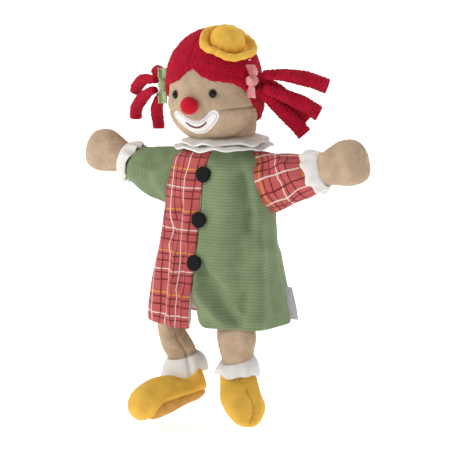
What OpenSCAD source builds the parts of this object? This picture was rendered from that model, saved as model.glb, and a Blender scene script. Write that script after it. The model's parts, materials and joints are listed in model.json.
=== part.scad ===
// Clown hand puppet: a two-colour padded coat that takes the player's hand, a stuffed head,
// mitten hands, short legs and soft shoes. Millimetres, +Z up, the puppet faces -Y.
// The origin is the middle of the hand opening, at the hem.

/* [Coat] */
// Height of the coat from its hem to the neck seam
coat_h = 157; // [150:1:165]
// Half width of the coat at its hem
coat_half_w = 67; // [62:1:70]
// Half depth of the coat at its hem
coat_half_d = 44; // [42:1:48]
// Thickness of the padded coat cloth
coat_wall = 2.2; // [1.6:0.1:3]
// Thickness of the lining
lining_wall = 0.7; // [0.5:0.1:1]
// Height of the open vent at the front of the hem
vent_h = 28; // [15:1:35]
// Width of the vent at the hem
vent_w = 8.5; // [5:0.5:12]
// Diameter of the felt buttons
button_d = 14; // [10:1:16]
// Outer radius of the lower collar frill
collar_r = 46; // [40:1:48]

/* [Head] */
// Half width of the head without its hair
head_half_w = 40; // [38:1:42]
// Half height of the head without its hair
head_half_h = 47; // [44:1:48]
// Sideways tilt of the head, its left side up
head_tilt = 2.5; // [0:0.5:5]
// Thickness of the hair cap
hair_wall = 3; // [2:0.5:4]
// Diameter of the nose
nose_d = 15.4; // [12:0.2:18]
// Radius of the hat brim
brim_r = 26; // [22:1:28]
// Thickness of each hair strand at its end
strand_d = 9.6; // [6:0.2:10]

/* [Finger pockets] */
// Inner radius of the finger pockets
finger_r = 11; // [9:0.5:11.5]
// Wall of the finger pockets
pocket_wall = 1; // [0.6:0.1:1.2]
// Depth of the pocket in the head
head_pocket_h = 50; // [40:1:55]
// Depth of the pockets in the arms
arm_pocket_l = 39; // [30:1:39]

/* [Arms] */
// Angle of the arms above level
arm_rise = 14.5; // [10:0.5:18]
// Distance from the shoulder to the tip of the hand
arm_l = 98.5; // [92:0.5:100]
// Thickness of the sleeve cloth
sleeve_wall = 1.4; // [1:0.1:1.8]

/* [Legs] */
// Half width of a leg at the knee
leg_half_w = 17; // [14:0.5:18]
// Distance from hip to ankle
leg_l = 40; // [36:1:44]
// Distance from the ankle to the tip of the shoe
shoe_l = 54; // [48:1:56]
// Half width of the shoe at the toes
shoe_half_w = 20; // [17:0.5:21]

/* [Hidden] */

RIGHT = -1;
LEFT = 1;
gap = 0.2;                      // free space between separate layers and moving pieces
skin_wall = 1.2;                // plush cloth of the head, hands, legs and shoes

// Colours of the cloths
plaid = "indianred";
corduroy = "darkseagreen";
tan_plush = "tan";
red_terry = "crimson";
mustard = "goldenrod";
frill_white = "white";
fill_white = "whitesmoke";

// Heights up the coat where its outline is given, as parts of its height
coat_levels = [for (part = [0, 0.09, 0.18, 0.27, 0.4, 0.54, 0.65, 0.8, 0.89, 0.955, 0.98, 1]) part * coat_h];
coat_steps = 8;                 // facets round a quarter of the coat
neck_r = 18;                    // outer radius of the coat at the neck seam
quarter = 90;
front = 270;                    // direction of the front seam

// Shoulders, at the middle of each armhole
shoulder_x = 47;
shoulder_z = 127;
armhole_half_h = 24;
armhole_half_d = 14.5;
sleeve_start = 2.4;
sleeve_end = 44.5;
arm_pocket_start = 7;

// Neck and head
head_c = [-2.5, -7, 211];
face_seam_y = 3;                // the seam between face and back of head, behind the head's middle
neck_inner_r = 12.8;
neck_outer_r = 14.6;
neck_z = 150;
head_pocket_z = 163;
nose_at = [0.3, -16];           // sideways and up, from the head's middle
eye_at = [19, -6.2];            // sideways and up, from the head's middle
hat_at = [21.2, -23.7, 249.3];
hat_turn = [0, 39.6, -44.2];

// Bows, and the far ends of the strands that come out of them
right_bow_at = [-52, -17, 211];
left_bow_at = [47, -17, 216];
right_strand_ends = [[-92, 38, 224], [-107, 26, 203], [-105, 21, 178], [-85, 29, 168]];
left_strand_ends = [[83, 45, 210], [77, 42, 186], [65, 42, 180], [66, 34, 168]];
// Place of each strand in its bow: outward or inward, upper or lower
right_strand_places = [[-1, 1], [1, 1], [1, -1], [-1, -1]];
left_strand_places = [[1, 1], [1, -1], [-1, 1], [-1, -1]];
strand_spread = 3.6;
strand_start = 7;

// Hips, with the swing and lean of each hanging leg, and the turn of each foot
right_hip = [-36, -24, 0];
left_hip = [29, -24, 0];
right_leg_turn = [15, -5.5, 0];
left_leg_turn = [-1, -3.5, 0];
right_foot_turn = [11.4, -42, -35];     // pitch, roll, turn out
left_foot_turn = [39, 26, 39.7];
sole_z = -28.5;                 // top of the sole below the ankle

// ---------- shapes ----------

function bulge(v, power) = sign(v) * pow(abs(v), 2 / power);

// Superellipse of half sizes a along X and b along Y, at height z
function ring(a, b, z, power = 2, sides = 20, from_y = 0) =
    [for (i = [0:sides - 1]) let (t = 360 * i / sides)
        [a * bulge(cos(t), power), from_y + b * bulge(sin(t), power), z]];

function unit(v) = v / norm(v);

// Side facets between neighbouring rings of count points; wrap joins the last ring to the first
function side_faces(rings, count, wrap) =
    [for (k = [0:rings - (wrap ? 1 : 2)], i = [0:count - 1])
        let (j = (i + 1) % count, low = k * count, high = ((k + 1) % rings) * count)
            each [[low + i, high + i, high + j], [low + i, high + j, low + j]]];

// Solid through a stack of rings, closed at both ends
module loft(rings) {
    count = len(rings[0]);
    top = (len(rings) - 1) * count;
    polyhedron(
        points = [for (r = rings) each r],
        faces = concat(
            [[for (i = [0:count - 1]) i]],
            side_faces(len(rings), count, false),
            [[for (i = [count - 1:-1:0]) top + i]]),
        convexity = 6);
}

// Open tube of cloth between an outer and an inner stack of rings
module tube(outer, inner) {
    loop = concat(outer, [for (k = [len(inner) - 1:-1:0]) inner[k]]);
    polyhedron(
        points = [for (r = loop) each r],
        faces = side_faces(len(loop), len(loop[0]), true),
        convexity = 6);
}

module ellipsoid(half_w, half_d, half_h) {
    scale([half_w, half_d, half_h] / half_w) sphere(r = half_w, $fn = 30);
}

// Turns a shape built up the Z axis so that it runs out along X
module along_x() {
    rotate([0, 90, 0]) children();
}

module on_side(side) {
    mirror([side == RIGHT ? 1 : 0, 0, 0]) children();
}

// ---------- coat ----------

function coat_a(z) = lookup(z / coat_h, [
    [0, coat_half_w], [0.27, coat_half_w * 0.963], [0.4, coat_half_w * 0.895],
    [0.54, coat_half_w * 0.83], [0.65, coat_half_w * 0.8], [0.8, coat_half_w * 0.74],
    [0.89, coat_half_w * 0.672], [0.955, coat_half_w * 0.597], [0.98, coat_half_w * 0.43],
    [1, neck_r]]);
function coat_b(z) = lookup(z / coat_h, [
    [0, coat_half_d], [0.27, coat_half_d * 0.865], [0.4, coat_half_d * 0.795],
    [0.54, coat_half_d * 0.727], [0.65, coat_half_d * 0.69], [0.8, coat_half_d * 0.645],
    [0.89, coat_half_d * 0.59], [0.955, coat_half_d * 0.52], [0.98, coat_half_d * 0.45],
    [1, neck_r]]);
function coat_power(z) = lookup(z / coat_h, [[0, 2.6], [0.9, 2.5], [1, 2]]);

// Point of the coat's outline at angle t, drawn in by depth; the flat shoulders are also lowered.
// At the front seam the cloth stops short of the middle, by half the width of the vent.
function coat_point(z, t, depth, side) =
    [t == front ? side * vent_w / 2 * max(0, 1 - z / vent_h)
        : (coat_a(z) - depth) * bulge(cos(t), coat_power(z)),
     (coat_b(z) - depth) * bulge(sin(t), coat_power(z)),
     z - depth * lookup(z / coat_h, [[0, 0], [0.85, 0], [0.955, 1], [1, 1]])];

// Cloth on one side of the coat, between two depths and two angles
module coat_cloth(side, outer, inner, from, to) {
    top = len(coat_levels) - 1;
    count = 2 * (top + 1);
    steps = coat_steps * (to - from) / quarter;
    sections = [for (k = [0:steps]) let (t = from + (to - from) * k / steps) concat(
        [for (i = [0:top]) coat_point(coat_levels[i], t, inner, side)],
        [for (i = [top:-1:0]) coat_point(coat_levels[i], t, outer, side)])];
    polyhedron(
        points = [for (r = sections) each r],
        faces = concat(
            [for (i = [0:top - 1]) [i, i + 1, count - 2 - i, count - 1 - i]],
            side_faces(steps + 1, count, false),
            [for (i = [0:top - 1]) let (end = steps * count)
                [end + count - 1 - i, end + count - 2 - i, end + i + 1, end + i]]),
        convexity = 6);
}

// Line of the arm, out of the shoulder
module arm_line(side) {
    on_side(side) translate([shoulder_x, 0, shoulder_z]) rotate([0, -arm_rise, 0]) children();
}

module armholes() {
    reach = 36;
    for (side = [RIGHT, LEFT]) arm_line(side) along_x()
        loft([ring(armhole_half_h, armhole_half_d, -reach / 2), ring(armhole_half_h, armhole_half_d, reach / 2)]);
}

// Outer cloth of a quarter of the coat
module coat_panel(side, from) {
    difference() {
        coat_cloth(side, 0, coat_wall, from, from + quarter);
        armholes();
    }
}

// Lining of half of the coat
module coat_lining(side, from) {
    color("antiquewhite") difference() {
        coat_cloth(side, coat_wall + gap, coat_wall + gap + lining_wall, from, from + 2 * quarter);
        armholes();
    }
}

module coat_front_right() { color(plaid) coat_panel(RIGHT, front - quarter); }
module coat_front_left() { color(corduroy) coat_panel(LEFT, front); }
module coat_back_left() { color(corduroy) coat_panel(LEFT, 0); }
module coat_back_right() { color(plaid) coat_panel(RIGHT, quarter); }
module coat_lining_right() { coat_lining(RIGHT, front - 2 * quarter); }
module coat_lining_left() { coat_lining(LEFT, front); }

// Waved round frill from the neck seam outwards
module frill_ring(inner_r, outer_r, inner_z, outer_z, waves, wave_h) {
    thick = 1.2;
    spokes = 48;
    function level(r, t) = let (out = (r - inner_r) / (outer_r - inner_r))
        inner_z + (outer_z - inner_z) * out + wave_h * out * sin(waves * t);
    function circle_at(r, lift) = [for (i = [0:spokes - 1]) let (t = 360 * i / spokes)
        [r * cos(t), r * sin(t), level(r, t) + lift]];
    middle_r = (inner_r + outer_r) / 2;
    tube([circle_at(outer_r, 0), circle_at(outer_r, thick), circle_at(middle_r, thick)],
         [circle_at(middle_r, 0), circle_at(inner_r, 0), circle_at(inner_r, thick)]);
}

module collar_lower_frill() { color(frill_white) frill_ring(17, collar_r, 159.4, 154.5, 9, 1.5); }
module collar_upper_frill() { color(frill_white) frill_ring(17, collar_r - 5, 162, 159.8, 9, 1.5); }

module coat_buttons() {
    thick = 2.4;
    // Height of each button, and how far the coat front leans back there
    for (place = [[134, 9], [94, 6.5], [56, 8]]) color("black")
        translate([-1, -coat_b(place[0]) - gap, place[0]]) rotate([90 - place[1], 0, 0])
            cylinder(d = button_d, h = thick, $fn = 40);
}

module side_label() {
    color("silver") translate([coat_half_w + gap, -0.4, 5]) rotate([0, -4, 0]) cube([8, 0.8, 29]);
}

// ---------- neck and head ----------

module neck_tube() {
    color(tan_plush) translate([0, 0, neck_z]) difference() {
        cylinder(r = neck_outer_r, h = head_pocket_z - neck_z - 1, $fn = 48);
        translate([0, 0, -1]) cylinder(r = neck_inner_r, h = head_pocket_z, $fn = 48);
    }
}

module head_frame() {
    translate(head_c) rotate([0, -head_tilt, 0]) children();
}

// The head grown outwards by a distance
module head_shape(grow) {
    head_frame() ellipsoid(head_half_w + grow, head_half_w + grow, head_half_h + grow);
}

module head_pocket_hole(r) {
    translate([0, 0, head_c[2] - 2 * head_half_h]) cylinder(r = r, h = 2 * head_half_h + head_pocket_h
        + head_pocket_z - head_c[2], $fn = 48);
}

module head_skin(front) {
    box = 120;
    difference() {
        head_shape(0);
        head_shape(-skin_wall);
        head_pocket_hole(finger_r + pocket_wall);
        head_frame() translate([-box / 2, front ? face_seam_y : face_seam_y - box, -box / 2]) cube(box);
    }
}

module face_panel() { color(tan_plush) head_skin(true); }
module head_back_panel() { color(tan_plush) head_skin(false); }

module head_stuffing() {
    color(fill_white) difference() {
        head_shape(-skin_wall);
        head_pocket_hole(finger_r + pocket_wall);
    }
}

module head_finger_pocket() {
    color("antiquewhite") translate([0, 0, head_pocket_z]) difference() {
        cylinder(r = finger_r + pocket_wall, h = head_pocket_h, $fn = 48);
        translate([0, 0, -1]) cylinder(r = finger_r, h = head_pocket_h - pocket_wall + 1, $fn = 48);
    }
}

// Terry cap, open round the face and under the jaw
module hair_cap() {
    window_r = 40;
    window_z = -32;
    nape_z = -33;
    box = 140;
    color(red_terry) difference() {
        head_shape(hair_wall);
        head_shape(0);
        head_frame() {
            translate([0, 6, window_z]) rotate([90, 0, 0]) cylinder(r = window_r, h = box, $fn = 48);
            translate([-box / 2, -box / 2, nape_z - box]) cube(box);
        }
    }
}

// Stands on the face at a place given sideways and up from the head's middle, square to the skin
module on_face(x, z) {
    forward = head_half_w * sqrt(1 - pow(x / head_half_w, 2) - pow(z / head_half_h, 2));
    out = unit([x / pow(head_half_w, 2), -forward / pow(head_half_w, 2), z / pow(head_half_h, 2)]);
    head_frame() translate([x, -forward, z]) rotate([0, acos(out[2]), atan2(out[1], out[0])]) children();
}

// Ball with a flat back, sewn on
module nose() {
    back = 4.6;                 // from the ball's middle to its flat back
    steps = 10;
    start = -asin(back / (nose_d / 2));
    color("red") on_face(nose_at[0], nose_at[1]) translate([0, 0, back + 0.05]) rotate_extrude($fn = 36)
        polygon(concat([[0, -back]], [for (i = [0:steps]) let (t = start + (90 - start) * i / steps)
            nose_d / 2 * [cos(t), sin(t)]]));
}

// Domed bead eye
module eye(side) {
    color("black") on_face(side * eye_at[0], eye_at[1]) translate([0, 0, 0.05]) dome(3.5, 1.6);
}

module right_eye() { eye(RIGHT); }
module left_eye() { eye(LEFT); }

// Cuts a flat outline out of a thin layer over the face
module face_layer(low, high) {
    intersection() {
        difference() {
            head_shape(high);
            head_shape(low);
        }
        head_frame() rotate([90, 0, 0]) linear_extrude(60) children();
    }
}

module mouth_patch() {
    lobe_x = 11.5;
    color("white") difference() {
        face_layer(0, 0.8) hull() {
            for (x = [-lobe_x, lobe_x]) translate([x, -28]) circle(r = 9, $fn = 24);
            translate([0, -30.5]) circle(r = 9.5, $fn = 24);
        }
        on_face(nose_at[0], nose_at[1]) cylinder(d = nose_d + 1, h = 10, center = true, $fn = 36);
    }
}

module mouth_smile_stitching() {
    smile_r = 15;
    color("maroon") face_layer(0.8, 1.5) translate([0, -21]) difference() {
        circle(r = smile_r, $fn = 40);
        circle(r = smile_r - 1.2, $fn = 40);
        translate([-20, -10]) square([40, 40]);
    }
}

// ---------- hat ----------

module hat_frame() {
    translate(hat_at) rotate(hat_turn) children();
}

module hat_brim() {
    roll_r = 2.2;
    color(mustard) hat_frame() rotate_extrude($fn = 40) {
        square([brim_r - roll_r, 2]);
        translate([brim_r - roll_r, roll_r]) circle(r = roll_r, $fn = 16);
    }
}

// Domed outline of the hat's ball
module dome(r, h) {
    steps = 7;
    rotate_extrude($fn = 40)
        polygon(concat([[0, 0]], [for (i = [0:steps]) let (t = 90 * i / steps) [r * cos(t), h * sin(t)]]));
}

module hat_crown() {
    color(mustard) hat_frame() translate([0, 0, 2]) difference() {
        dome(15.5, 16);
        dome(15.5 - skin_wall, 16 - skin_wall);
    }
}

module hat_stuffing() {
    color(fill_white) hat_frame() translate([0, 0, 2]) dome(15.5 - skin_wall, 16 - skin_wall);
}

// ---------- ponytails ----------

// Bezier curve through a start, a pull point and an end
function curve(a, b, c, t) = (1 - t) * (1 - t) * a + 2 * t * (1 - t) * b + t * t * c;
function slope(a, b, c, t) = unit((1 - t) * (b - a) + t * (c - b));

function ring_across(at, along, r, sides) =
    let (u = unit(cross(along, [0, 0, 1])), v = cross(u, along))
        [for (i = [0:sides - 1]) at + r * (u * cos(360 * i / sides) + v * sin(360 * i / sides))];

// One strand from its bow to its end, thicker outwards
module strand(bow_at, end, place, side) {
    out = unit([end[0] - bow_at[0], end[1] - bow_at[1], 0]);
    across = [side * 0.9, -0.45, 0];
    a = bow_at + strand_start * out + strand_spread * (place[0] * across + place[1] * [0, 0, 1]);
    b = (a + end) / 2 + [side * 6, -4, 9];
    steps = 7;
    color(red_terry) loft([for (k = [0:steps]) let (t = k / steps)
        ring_across(curve(a, b, end, t), slope(a, b, end, t),
            strand_d / 2 * lookup(t, [[0, 0.62], [0.5, 0.86], [0.93, 1], [1, 0.7]]), 10)]);
}

module right_strand_1() { strand(right_bow_at, right_strand_ends[0], right_strand_places[0], RIGHT); }
module right_strand_2() { strand(right_bow_at, right_strand_ends[1], right_strand_places[1], RIGHT); }
module right_strand_3() { strand(right_bow_at, right_strand_ends[2], right_strand_places[2], RIGHT); }
module right_strand_4() { strand(right_bow_at, right_strand_ends[3], right_strand_places[3], RIGHT); }
module left_strand_1() { strand(left_bow_at, left_strand_ends[0], left_strand_places[0], LEFT); }
module left_strand_2() { strand(left_bow_at, left_strand_ends[1], left_strand_places[1], LEFT); }
module left_strand_3() { strand(left_bow_at, left_strand_ends[2], left_strand_places[2], LEFT); }
module left_strand_4() { strand(left_bow_at, left_strand_ends[3], left_strand_places[3], LEFT); }

// Bows stand square to the ponytail, which sweeps out and back
module bow_frame(at, side) {
    translate(at) rotate([0, 0, side == LEFT ? 50 : 130]) children();
}

module bow_loops(at, side) {
    thick = 2.4;
    bow_frame(at, side) for (up = [-1, 1]) hull() {
        translate([0, 0, up * 4.7]) cube([thick, 5, 1], center = true);
        translate([0, 0, up * 15]) cube([thick, 12, 1.5], center = true);
    }
}

module bow_knot(at, side) {
    bow_frame(at, side) rotate([0, 90, 0]) cylinder(r = 4, h = 6, center = true, $fn = 24);
}

module right_bow_loops() { color("darkseagreen") bow_loops(right_bow_at, RIGHT); }
module right_bow_knot() { color("darkseagreen") bow_knot(right_bow_at, RIGHT); }
module left_bow_loops() { color("lightpink") bow_loops(left_bow_at, LEFT); }
module left_bow_knot() { color("lightpink") bow_knot(left_bow_at, LEFT); }

// ---------- arms ----------

// Distance along the arm, half height, half depth
sleeve_sizes = [[sleeve_start, 27, 17], [12, 25.5, 17], [28, 21.5, 16], [sleeve_end, 19, 15.5]];
frill_sizes = [[sleeve_end + gap, 18.6, 15.4], [51, 16.8, 14.2], [58.5, 17.6, 14.8]];
hand_sizes = [[46.6, 4, 3.5], [48.5, 8.5, 7], [52, 11.5, 9.8], [57, 14, 11.6], [62, 15.4, 12.8],
    [70, 18.5, 14.2], [80, 20.3, 14.5], [89, 18.6, 13.4], [95, 14, 10.5], [arm_l, 7, 5]];

function arm_rings(sizes, inset) = [for (s = sizes) ring(s[1] - inset, s[2] - inset, s[0], 2.1)];

// Skin or filling of the hand, drawn in by a distance, with its ends drawn in too
function hand_rings(inset) = let (last = len(hand_sizes) - 1)
    [for (i = [0:last]) let (s = hand_sizes[i], end = i == 0 ? inset : i == last ? -inset : 0)
        ring(s[1] - inset, s[2] - inset, s[0] + end, 2.1)];

module sleeve(side) {
    arm_line(side) along_x() tube(arm_rings(sleeve_sizes, 0), arm_rings(sleeve_sizes, sleeve_wall));
}

module arm_pocket(side) {
    color("antiquewhite") arm_line(side) translate([arm_pocket_start, 0, 0]) along_x() difference() {
        cylinder(r = finger_r + pocket_wall, h = arm_pocket_l, $fn = 48);
        translate([0, 0, -1]) cylinder(r = finger_r, h = arm_pocket_l + 2, $fn = 48);
    }
}

module hand_skin(side) {
    color(tan_plush) arm_line(side) along_x() difference() {
        loft(hand_rings(0));
        loft(hand_rings(skin_wall));
    }
}

module hand_stuffing(side) {
    color(fill_white) arm_line(side) along_x() loft(hand_rings(skin_wall));
}

module wrist_frill(side) {
    color(frill_white) arm_line(side) along_x()
        tube(arm_rings(frill_sizes, 0), arm_rings(frill_sizes, 1.2));
}

module right_sleeve() { color(corduroy) sleeve(RIGHT); }
module left_sleeve() { color(plaid) sleeve(LEFT); }
module right_arm_pocket() { arm_pocket(RIGHT); }
module left_arm_pocket() { arm_pocket(LEFT); }
module right_hand_skin() { hand_skin(RIGHT); }
module left_hand_skin() { hand_skin(LEFT); }
module right_hand_stuffing() { hand_stuffing(RIGHT); }
module left_hand_stuffing() { hand_stuffing(LEFT); }
module right_wrist_frill() { wrist_frill(RIGHT); }
module left_wrist_frill() { wrist_frill(LEFT); }

// ---------- legs and feet ----------

// Depth below the hip as part of the leg, half width and half depth as parts of the knee's
leg_sizes = [[1.1, 0.3, 0.3], [1.03, 0.5, 0.45], [0.93, 0.66, 0.6], [0.75, 0.84, 0.68], [0.5, 0.97, 0.72],
    [0.25, 1, 0.72], [0.07, 0.93, 0.68], [-0.08, 0.8, 0.58], [-0.19, 0.6, 0.42], [-0.26, 0.3, 0.22]];

function leg_rings(inset) = let (last = len(leg_sizes) - 1)
    [for (i = [0:last]) let (s = leg_sizes[i], end = i == 0 ? inset : i == last ? -inset : 0)
        ring(leg_half_w * s[1] - inset, leg_half_w * s[2] - inset, end - leg_l * s[0])];

module leg_frame(side) {
    translate(side == LEFT ? left_hip : right_hip)
        rotate(side == LEFT ? left_leg_turn : right_leg_turn) children();
}

// At the ankle, but turned as the foot is
module foot_frame(side) {
    hip = side == LEFT ? left_hip : right_hip;
    lean = side == LEFT ? left_leg_turn : right_leg_turn;
    turn = side == LEFT ? left_foot_turn : right_foot_turn;
    down = [-sin(lean[1]) * cos(lean[0]), sin(lean[0]), -cos(lean[1]) * cos(lean[0])];
    translate(hip + leg_l * down) rotate([0, 0, turn[2]]) rotate([turn[0], 0, 0]) rotate([0, turn[1], 0])
        children();
}

module leg_skin(side) {
    color(tan_plush) leg_frame(side) difference() {
        loft(leg_rings(0));
        loft(leg_rings(skin_wall));
    }
}

module leg_stuffing(side) {
    color(fill_white) leg_frame(side) loft(leg_rings(skin_wall));
}

// Place along the shoe from heel to toe as part of its length, half width as part of the toes',
// and the heights of its top and bottom
shoe_sizes = [[-0.3, 0.3, -12, -22], [-0.25, 0.55, -6, -27], [-0.14, 0.68, -2, -31], [0, 0.75, -1, -32],
    [0.2, 0.83, -4, -32], [0.42, 0.94, -7, -32], [0.64, 1, -8.5, -32], [0.82, 0.96, -11.5, -31.5],
    [0.94, 0.76, -15.5, -29.5], [1, 0.42, -19.5, -26.5]];

// The rings are stacked up Z and laid down afterwards, so that Z becomes the way to the heel
function shoe_rings(inset) = let (last = len(shoe_sizes) - 1)
    [for (i = [last:-1:0]) let (s = shoe_sizes[i], end = i == last ? inset : i == 0 ? -inset : 0)
        ring(shoe_half_w * s[1] - inset, (s[2] - s[3]) / 2 - inset, end - shoe_l * s[0],
            2.3, 18, -(s[2] + s[3]) / 2)];

// Room for the round end of the leg to turn in
module ankle_room(side) {
    foot_frame(side) translate([0, 0, 3]) sphere(r = 16.4, $fn = 32);
}

module shoe_solid(side, inset) {
    foot_frame(side) rotate([-90, 0, 0]) loft(shoe_rings(inset));
}

module below_sole(side) {
    foot_frame(side) translate([-50, -70, sole_z - 40]) cube([100, 120, 40]);
}

module shoe_upper(side) {
    color(mustard) difference() {
        shoe_solid(side, 0);
        shoe_solid(side, skin_wall);
        ankle_room(side);
        below_sole(side);
    }
}

module shoe_stuffing(side) {
    color(fill_white) difference() {
        shoe_solid(side, skin_wall);
        ankle_room(side);
        below_sole(side);
    }
}

module shoe_sole(side) {
    color("peru") intersection() {
        shoe_solid(side, 0);
        below_sole(side);
    }
}

// Band of white cloth round the ankle, resting on the shoe
module ankle_frill(side) {
    wall = 1.2;
    sizes = [[-45, 20, 17.5], [-39, 18.5, 16], [-33, 17.5, 15], [-29, 18.2, 15.6]];
    color(frill_white) difference() {
        leg_frame(side) tube([for (s = sizes) ring(s[1], s[2], s[0])],
            [for (s = sizes) ring(s[1] - wall, s[2] - wall, s[0])]);
        shoe_solid(side, -gap);
    }
}

module right_leg_skin() { leg_skin(RIGHT); }
module left_leg_skin() { leg_skin(LEFT); }
module right_leg_stuffing() { leg_stuffing(RIGHT); }
module left_leg_stuffing() { leg_stuffing(LEFT); }
module right_shoe_upper() { shoe_upper(RIGHT); }
module left_shoe_upper() { shoe_upper(LEFT); }
module right_shoe_sole() { shoe_sole(RIGHT); }
module left_shoe_sole() { shoe_sole(LEFT); }
module right_shoe_stuffing() { shoe_stuffing(RIGHT); }
module left_shoe_stuffing() { shoe_stuffing(LEFT); }
module right_ankle_frill() { ankle_frill(RIGHT); }
module left_ankle_frill() { ankle_frill(LEFT); }

// ---------- nodes ----------

coat_front_right();
coat_front_left();
coat_back_right();
coat_back_left();
coat_lining_right();
coat_lining_left();
collar_lower_frill();
collar_upper_frill();
coat_buttons();
side_label();
neck_tube();
face_panel();
head_back_panel();
hair_cap();
head_stuffing();
head_finger_pocket();
nose();
right_eye();
left_eye();
mouth_patch();
mouth_smile_stitching();
hat_brim();
hat_crown();
hat_stuffing();
right_strand_1();
right_strand_2();
right_strand_3();
right_strand_4();
right_bow_loops();
right_bow_knot();
left_strand_1();
left_strand_2();
left_strand_3();
left_strand_4();
left_bow_loops();
left_bow_knot();
right_sleeve();
right_arm_pocket();
left_sleeve();
left_arm_pocket();
right_hand_skin();
right_hand_stuffing();
right_wrist_frill();
left_hand_skin();
left_hand_stuffing();
left_wrist_frill();
right_leg_skin();
right_leg_stuffing();
left_leg_skin();
left_leg_stuffing();
right_shoe_upper();
right_shoe_sole();
right_shoe_stuffing();
right_ankle_frill();
left_shoe_upper();
left_shoe_sole();
left_shoe_stuffing();
left_ankle_frill();
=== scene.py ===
"""Looks of the clown hand puppet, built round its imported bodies. Metres, +Z up, and it faces -Y."""

import json
import math

import bpy
import numpy as np
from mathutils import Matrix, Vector, noise


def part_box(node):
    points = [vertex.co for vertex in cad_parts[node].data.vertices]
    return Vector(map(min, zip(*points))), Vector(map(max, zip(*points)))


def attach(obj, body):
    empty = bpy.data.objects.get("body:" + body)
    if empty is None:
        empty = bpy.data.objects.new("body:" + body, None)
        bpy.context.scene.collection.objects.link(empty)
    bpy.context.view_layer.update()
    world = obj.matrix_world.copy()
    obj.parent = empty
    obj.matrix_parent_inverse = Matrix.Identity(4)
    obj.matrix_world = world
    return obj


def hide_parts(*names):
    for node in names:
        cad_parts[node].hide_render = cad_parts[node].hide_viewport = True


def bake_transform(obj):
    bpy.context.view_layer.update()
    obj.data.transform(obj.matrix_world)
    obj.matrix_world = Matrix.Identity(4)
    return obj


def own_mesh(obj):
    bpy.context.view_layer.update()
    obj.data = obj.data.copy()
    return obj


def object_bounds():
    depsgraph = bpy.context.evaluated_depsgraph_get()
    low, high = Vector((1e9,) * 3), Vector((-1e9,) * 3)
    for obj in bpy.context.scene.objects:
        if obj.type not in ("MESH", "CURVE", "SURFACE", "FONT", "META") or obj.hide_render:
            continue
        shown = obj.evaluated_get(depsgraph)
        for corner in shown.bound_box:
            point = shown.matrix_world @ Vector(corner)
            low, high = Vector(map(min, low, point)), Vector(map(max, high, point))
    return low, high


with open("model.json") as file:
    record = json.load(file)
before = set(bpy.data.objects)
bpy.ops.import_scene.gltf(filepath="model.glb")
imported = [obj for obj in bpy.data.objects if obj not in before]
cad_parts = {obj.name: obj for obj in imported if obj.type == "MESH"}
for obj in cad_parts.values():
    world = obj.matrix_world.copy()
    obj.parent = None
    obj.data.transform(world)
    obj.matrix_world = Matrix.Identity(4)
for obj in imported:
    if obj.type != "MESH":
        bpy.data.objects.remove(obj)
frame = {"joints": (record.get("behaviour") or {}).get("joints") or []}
CAD_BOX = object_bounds()
MM = 0.001
RIGHT, LEFT = -1, 1
SIDE_NAMES = {RIGHT: "right", LEFT: "left"}
JOINTS = {joint["name"]: joint for joint in frame["joints"]}
Y, Z = np.eye(3)[1:]


# ---------- small maths ----------

def unit(v):
    return np.asarray(v, float) / np.linalg.norm(v)


def smooth(t):
    t = np.clip(t, 0, 1)
    return t * t * (3 - 2 * t)


def hump(distance, width):
    return np.exp(-((distance / width) ** 2))


def full_circle(count):
    """Angles evenly round a circle, from 0 and short of a full turn."""
    return np.linspace(0, 2 * math.pi, count, endpoint=False)


def wrapped(angle):
    """The same angle, within half a turn of 0."""
    return np.angle(np.exp(1j * angle))


def rounded(distance, radius):
    """How far a rounded edge falls away at a distance in from it."""
    return radius - np.sqrt(np.maximum(radius ** 2 - np.clip(radius - distance, 0, radius) ** 2, 0))


def curve_through(at, knots, column):
    """Smooth value at some places, through the knots' first column and another column."""
    knots = np.asarray(knots, float)
    x, y = knots[:, 0], knots[:, column]
    slope = np.gradient(y, x)
    i = np.clip(np.searchsorted(x, at) - 1, 0, len(x) - 2)
    h = x[i + 1] - x[i]
    t = np.clip((at - x[i]) / h, 0, 1)
    return (y[i] * (1 + 2 * t) * (1 - t) ** 2 + slope[i] * h * t * (1 - t) ** 2
            + y[i + 1] * t * t * (3 - 2 * t) + slope[i + 1] * h * t * t * (t - 1))


def lumps(points, size, seed=0.0):
    """Soft noise from about -1 to 1, with bumps of about a size."""
    shift = Vector((seed * 7.3, seed * 3.1, seed * 5.7))
    flat = points.reshape(-1, 3) / size
    return np.array([noise.noise(Vector(p) + shift) for p in flat]).reshape(points.shape[:-1])


def bulge(v, power):
    return np.sign(v) * np.abs(v) ** (2 / power)


def turn(axis, degrees):
    a = math.radians(degrees)
    c, s = math.cos(a), math.sin(a)
    return np.array({
        "x": [[1, 0, 0], [0, c, -s], [0, s, c]],
        "y": [[c, 0, s], [0, 1, 0], [-s, 0, c]],
        "z": [[c, -s, 0], [s, c, 0], [0, 0, 1]],
    }[axis])


class Place:
    """A local frame in millimetres: its origin, and its axes as the columns of a matrix."""

    def __init__(self, origin_mm, x, y, z):
        self.origin = np.asarray(origin_mm, float)
        self.axes = np.column_stack([x, y, z])

    def out(self, points):
        """Local millimetres to metres in the shared frame."""
        return (points @ self.axes.T + self.origin) * MM

    def inside(self, points_mm):
        return (points_mm - self.origin) @ self.axes


def stack(*coordinates):
    return np.stack(np.broadcast_arrays(*coordinates), axis=-1)


def away_from(p, axis):
    """Direction of each point from its own point of an axis."""
    offset = p - axis
    return offset / np.maximum(np.linalg.norm(offset, axis=-1, keepdims=True), 1e-6)


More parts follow.
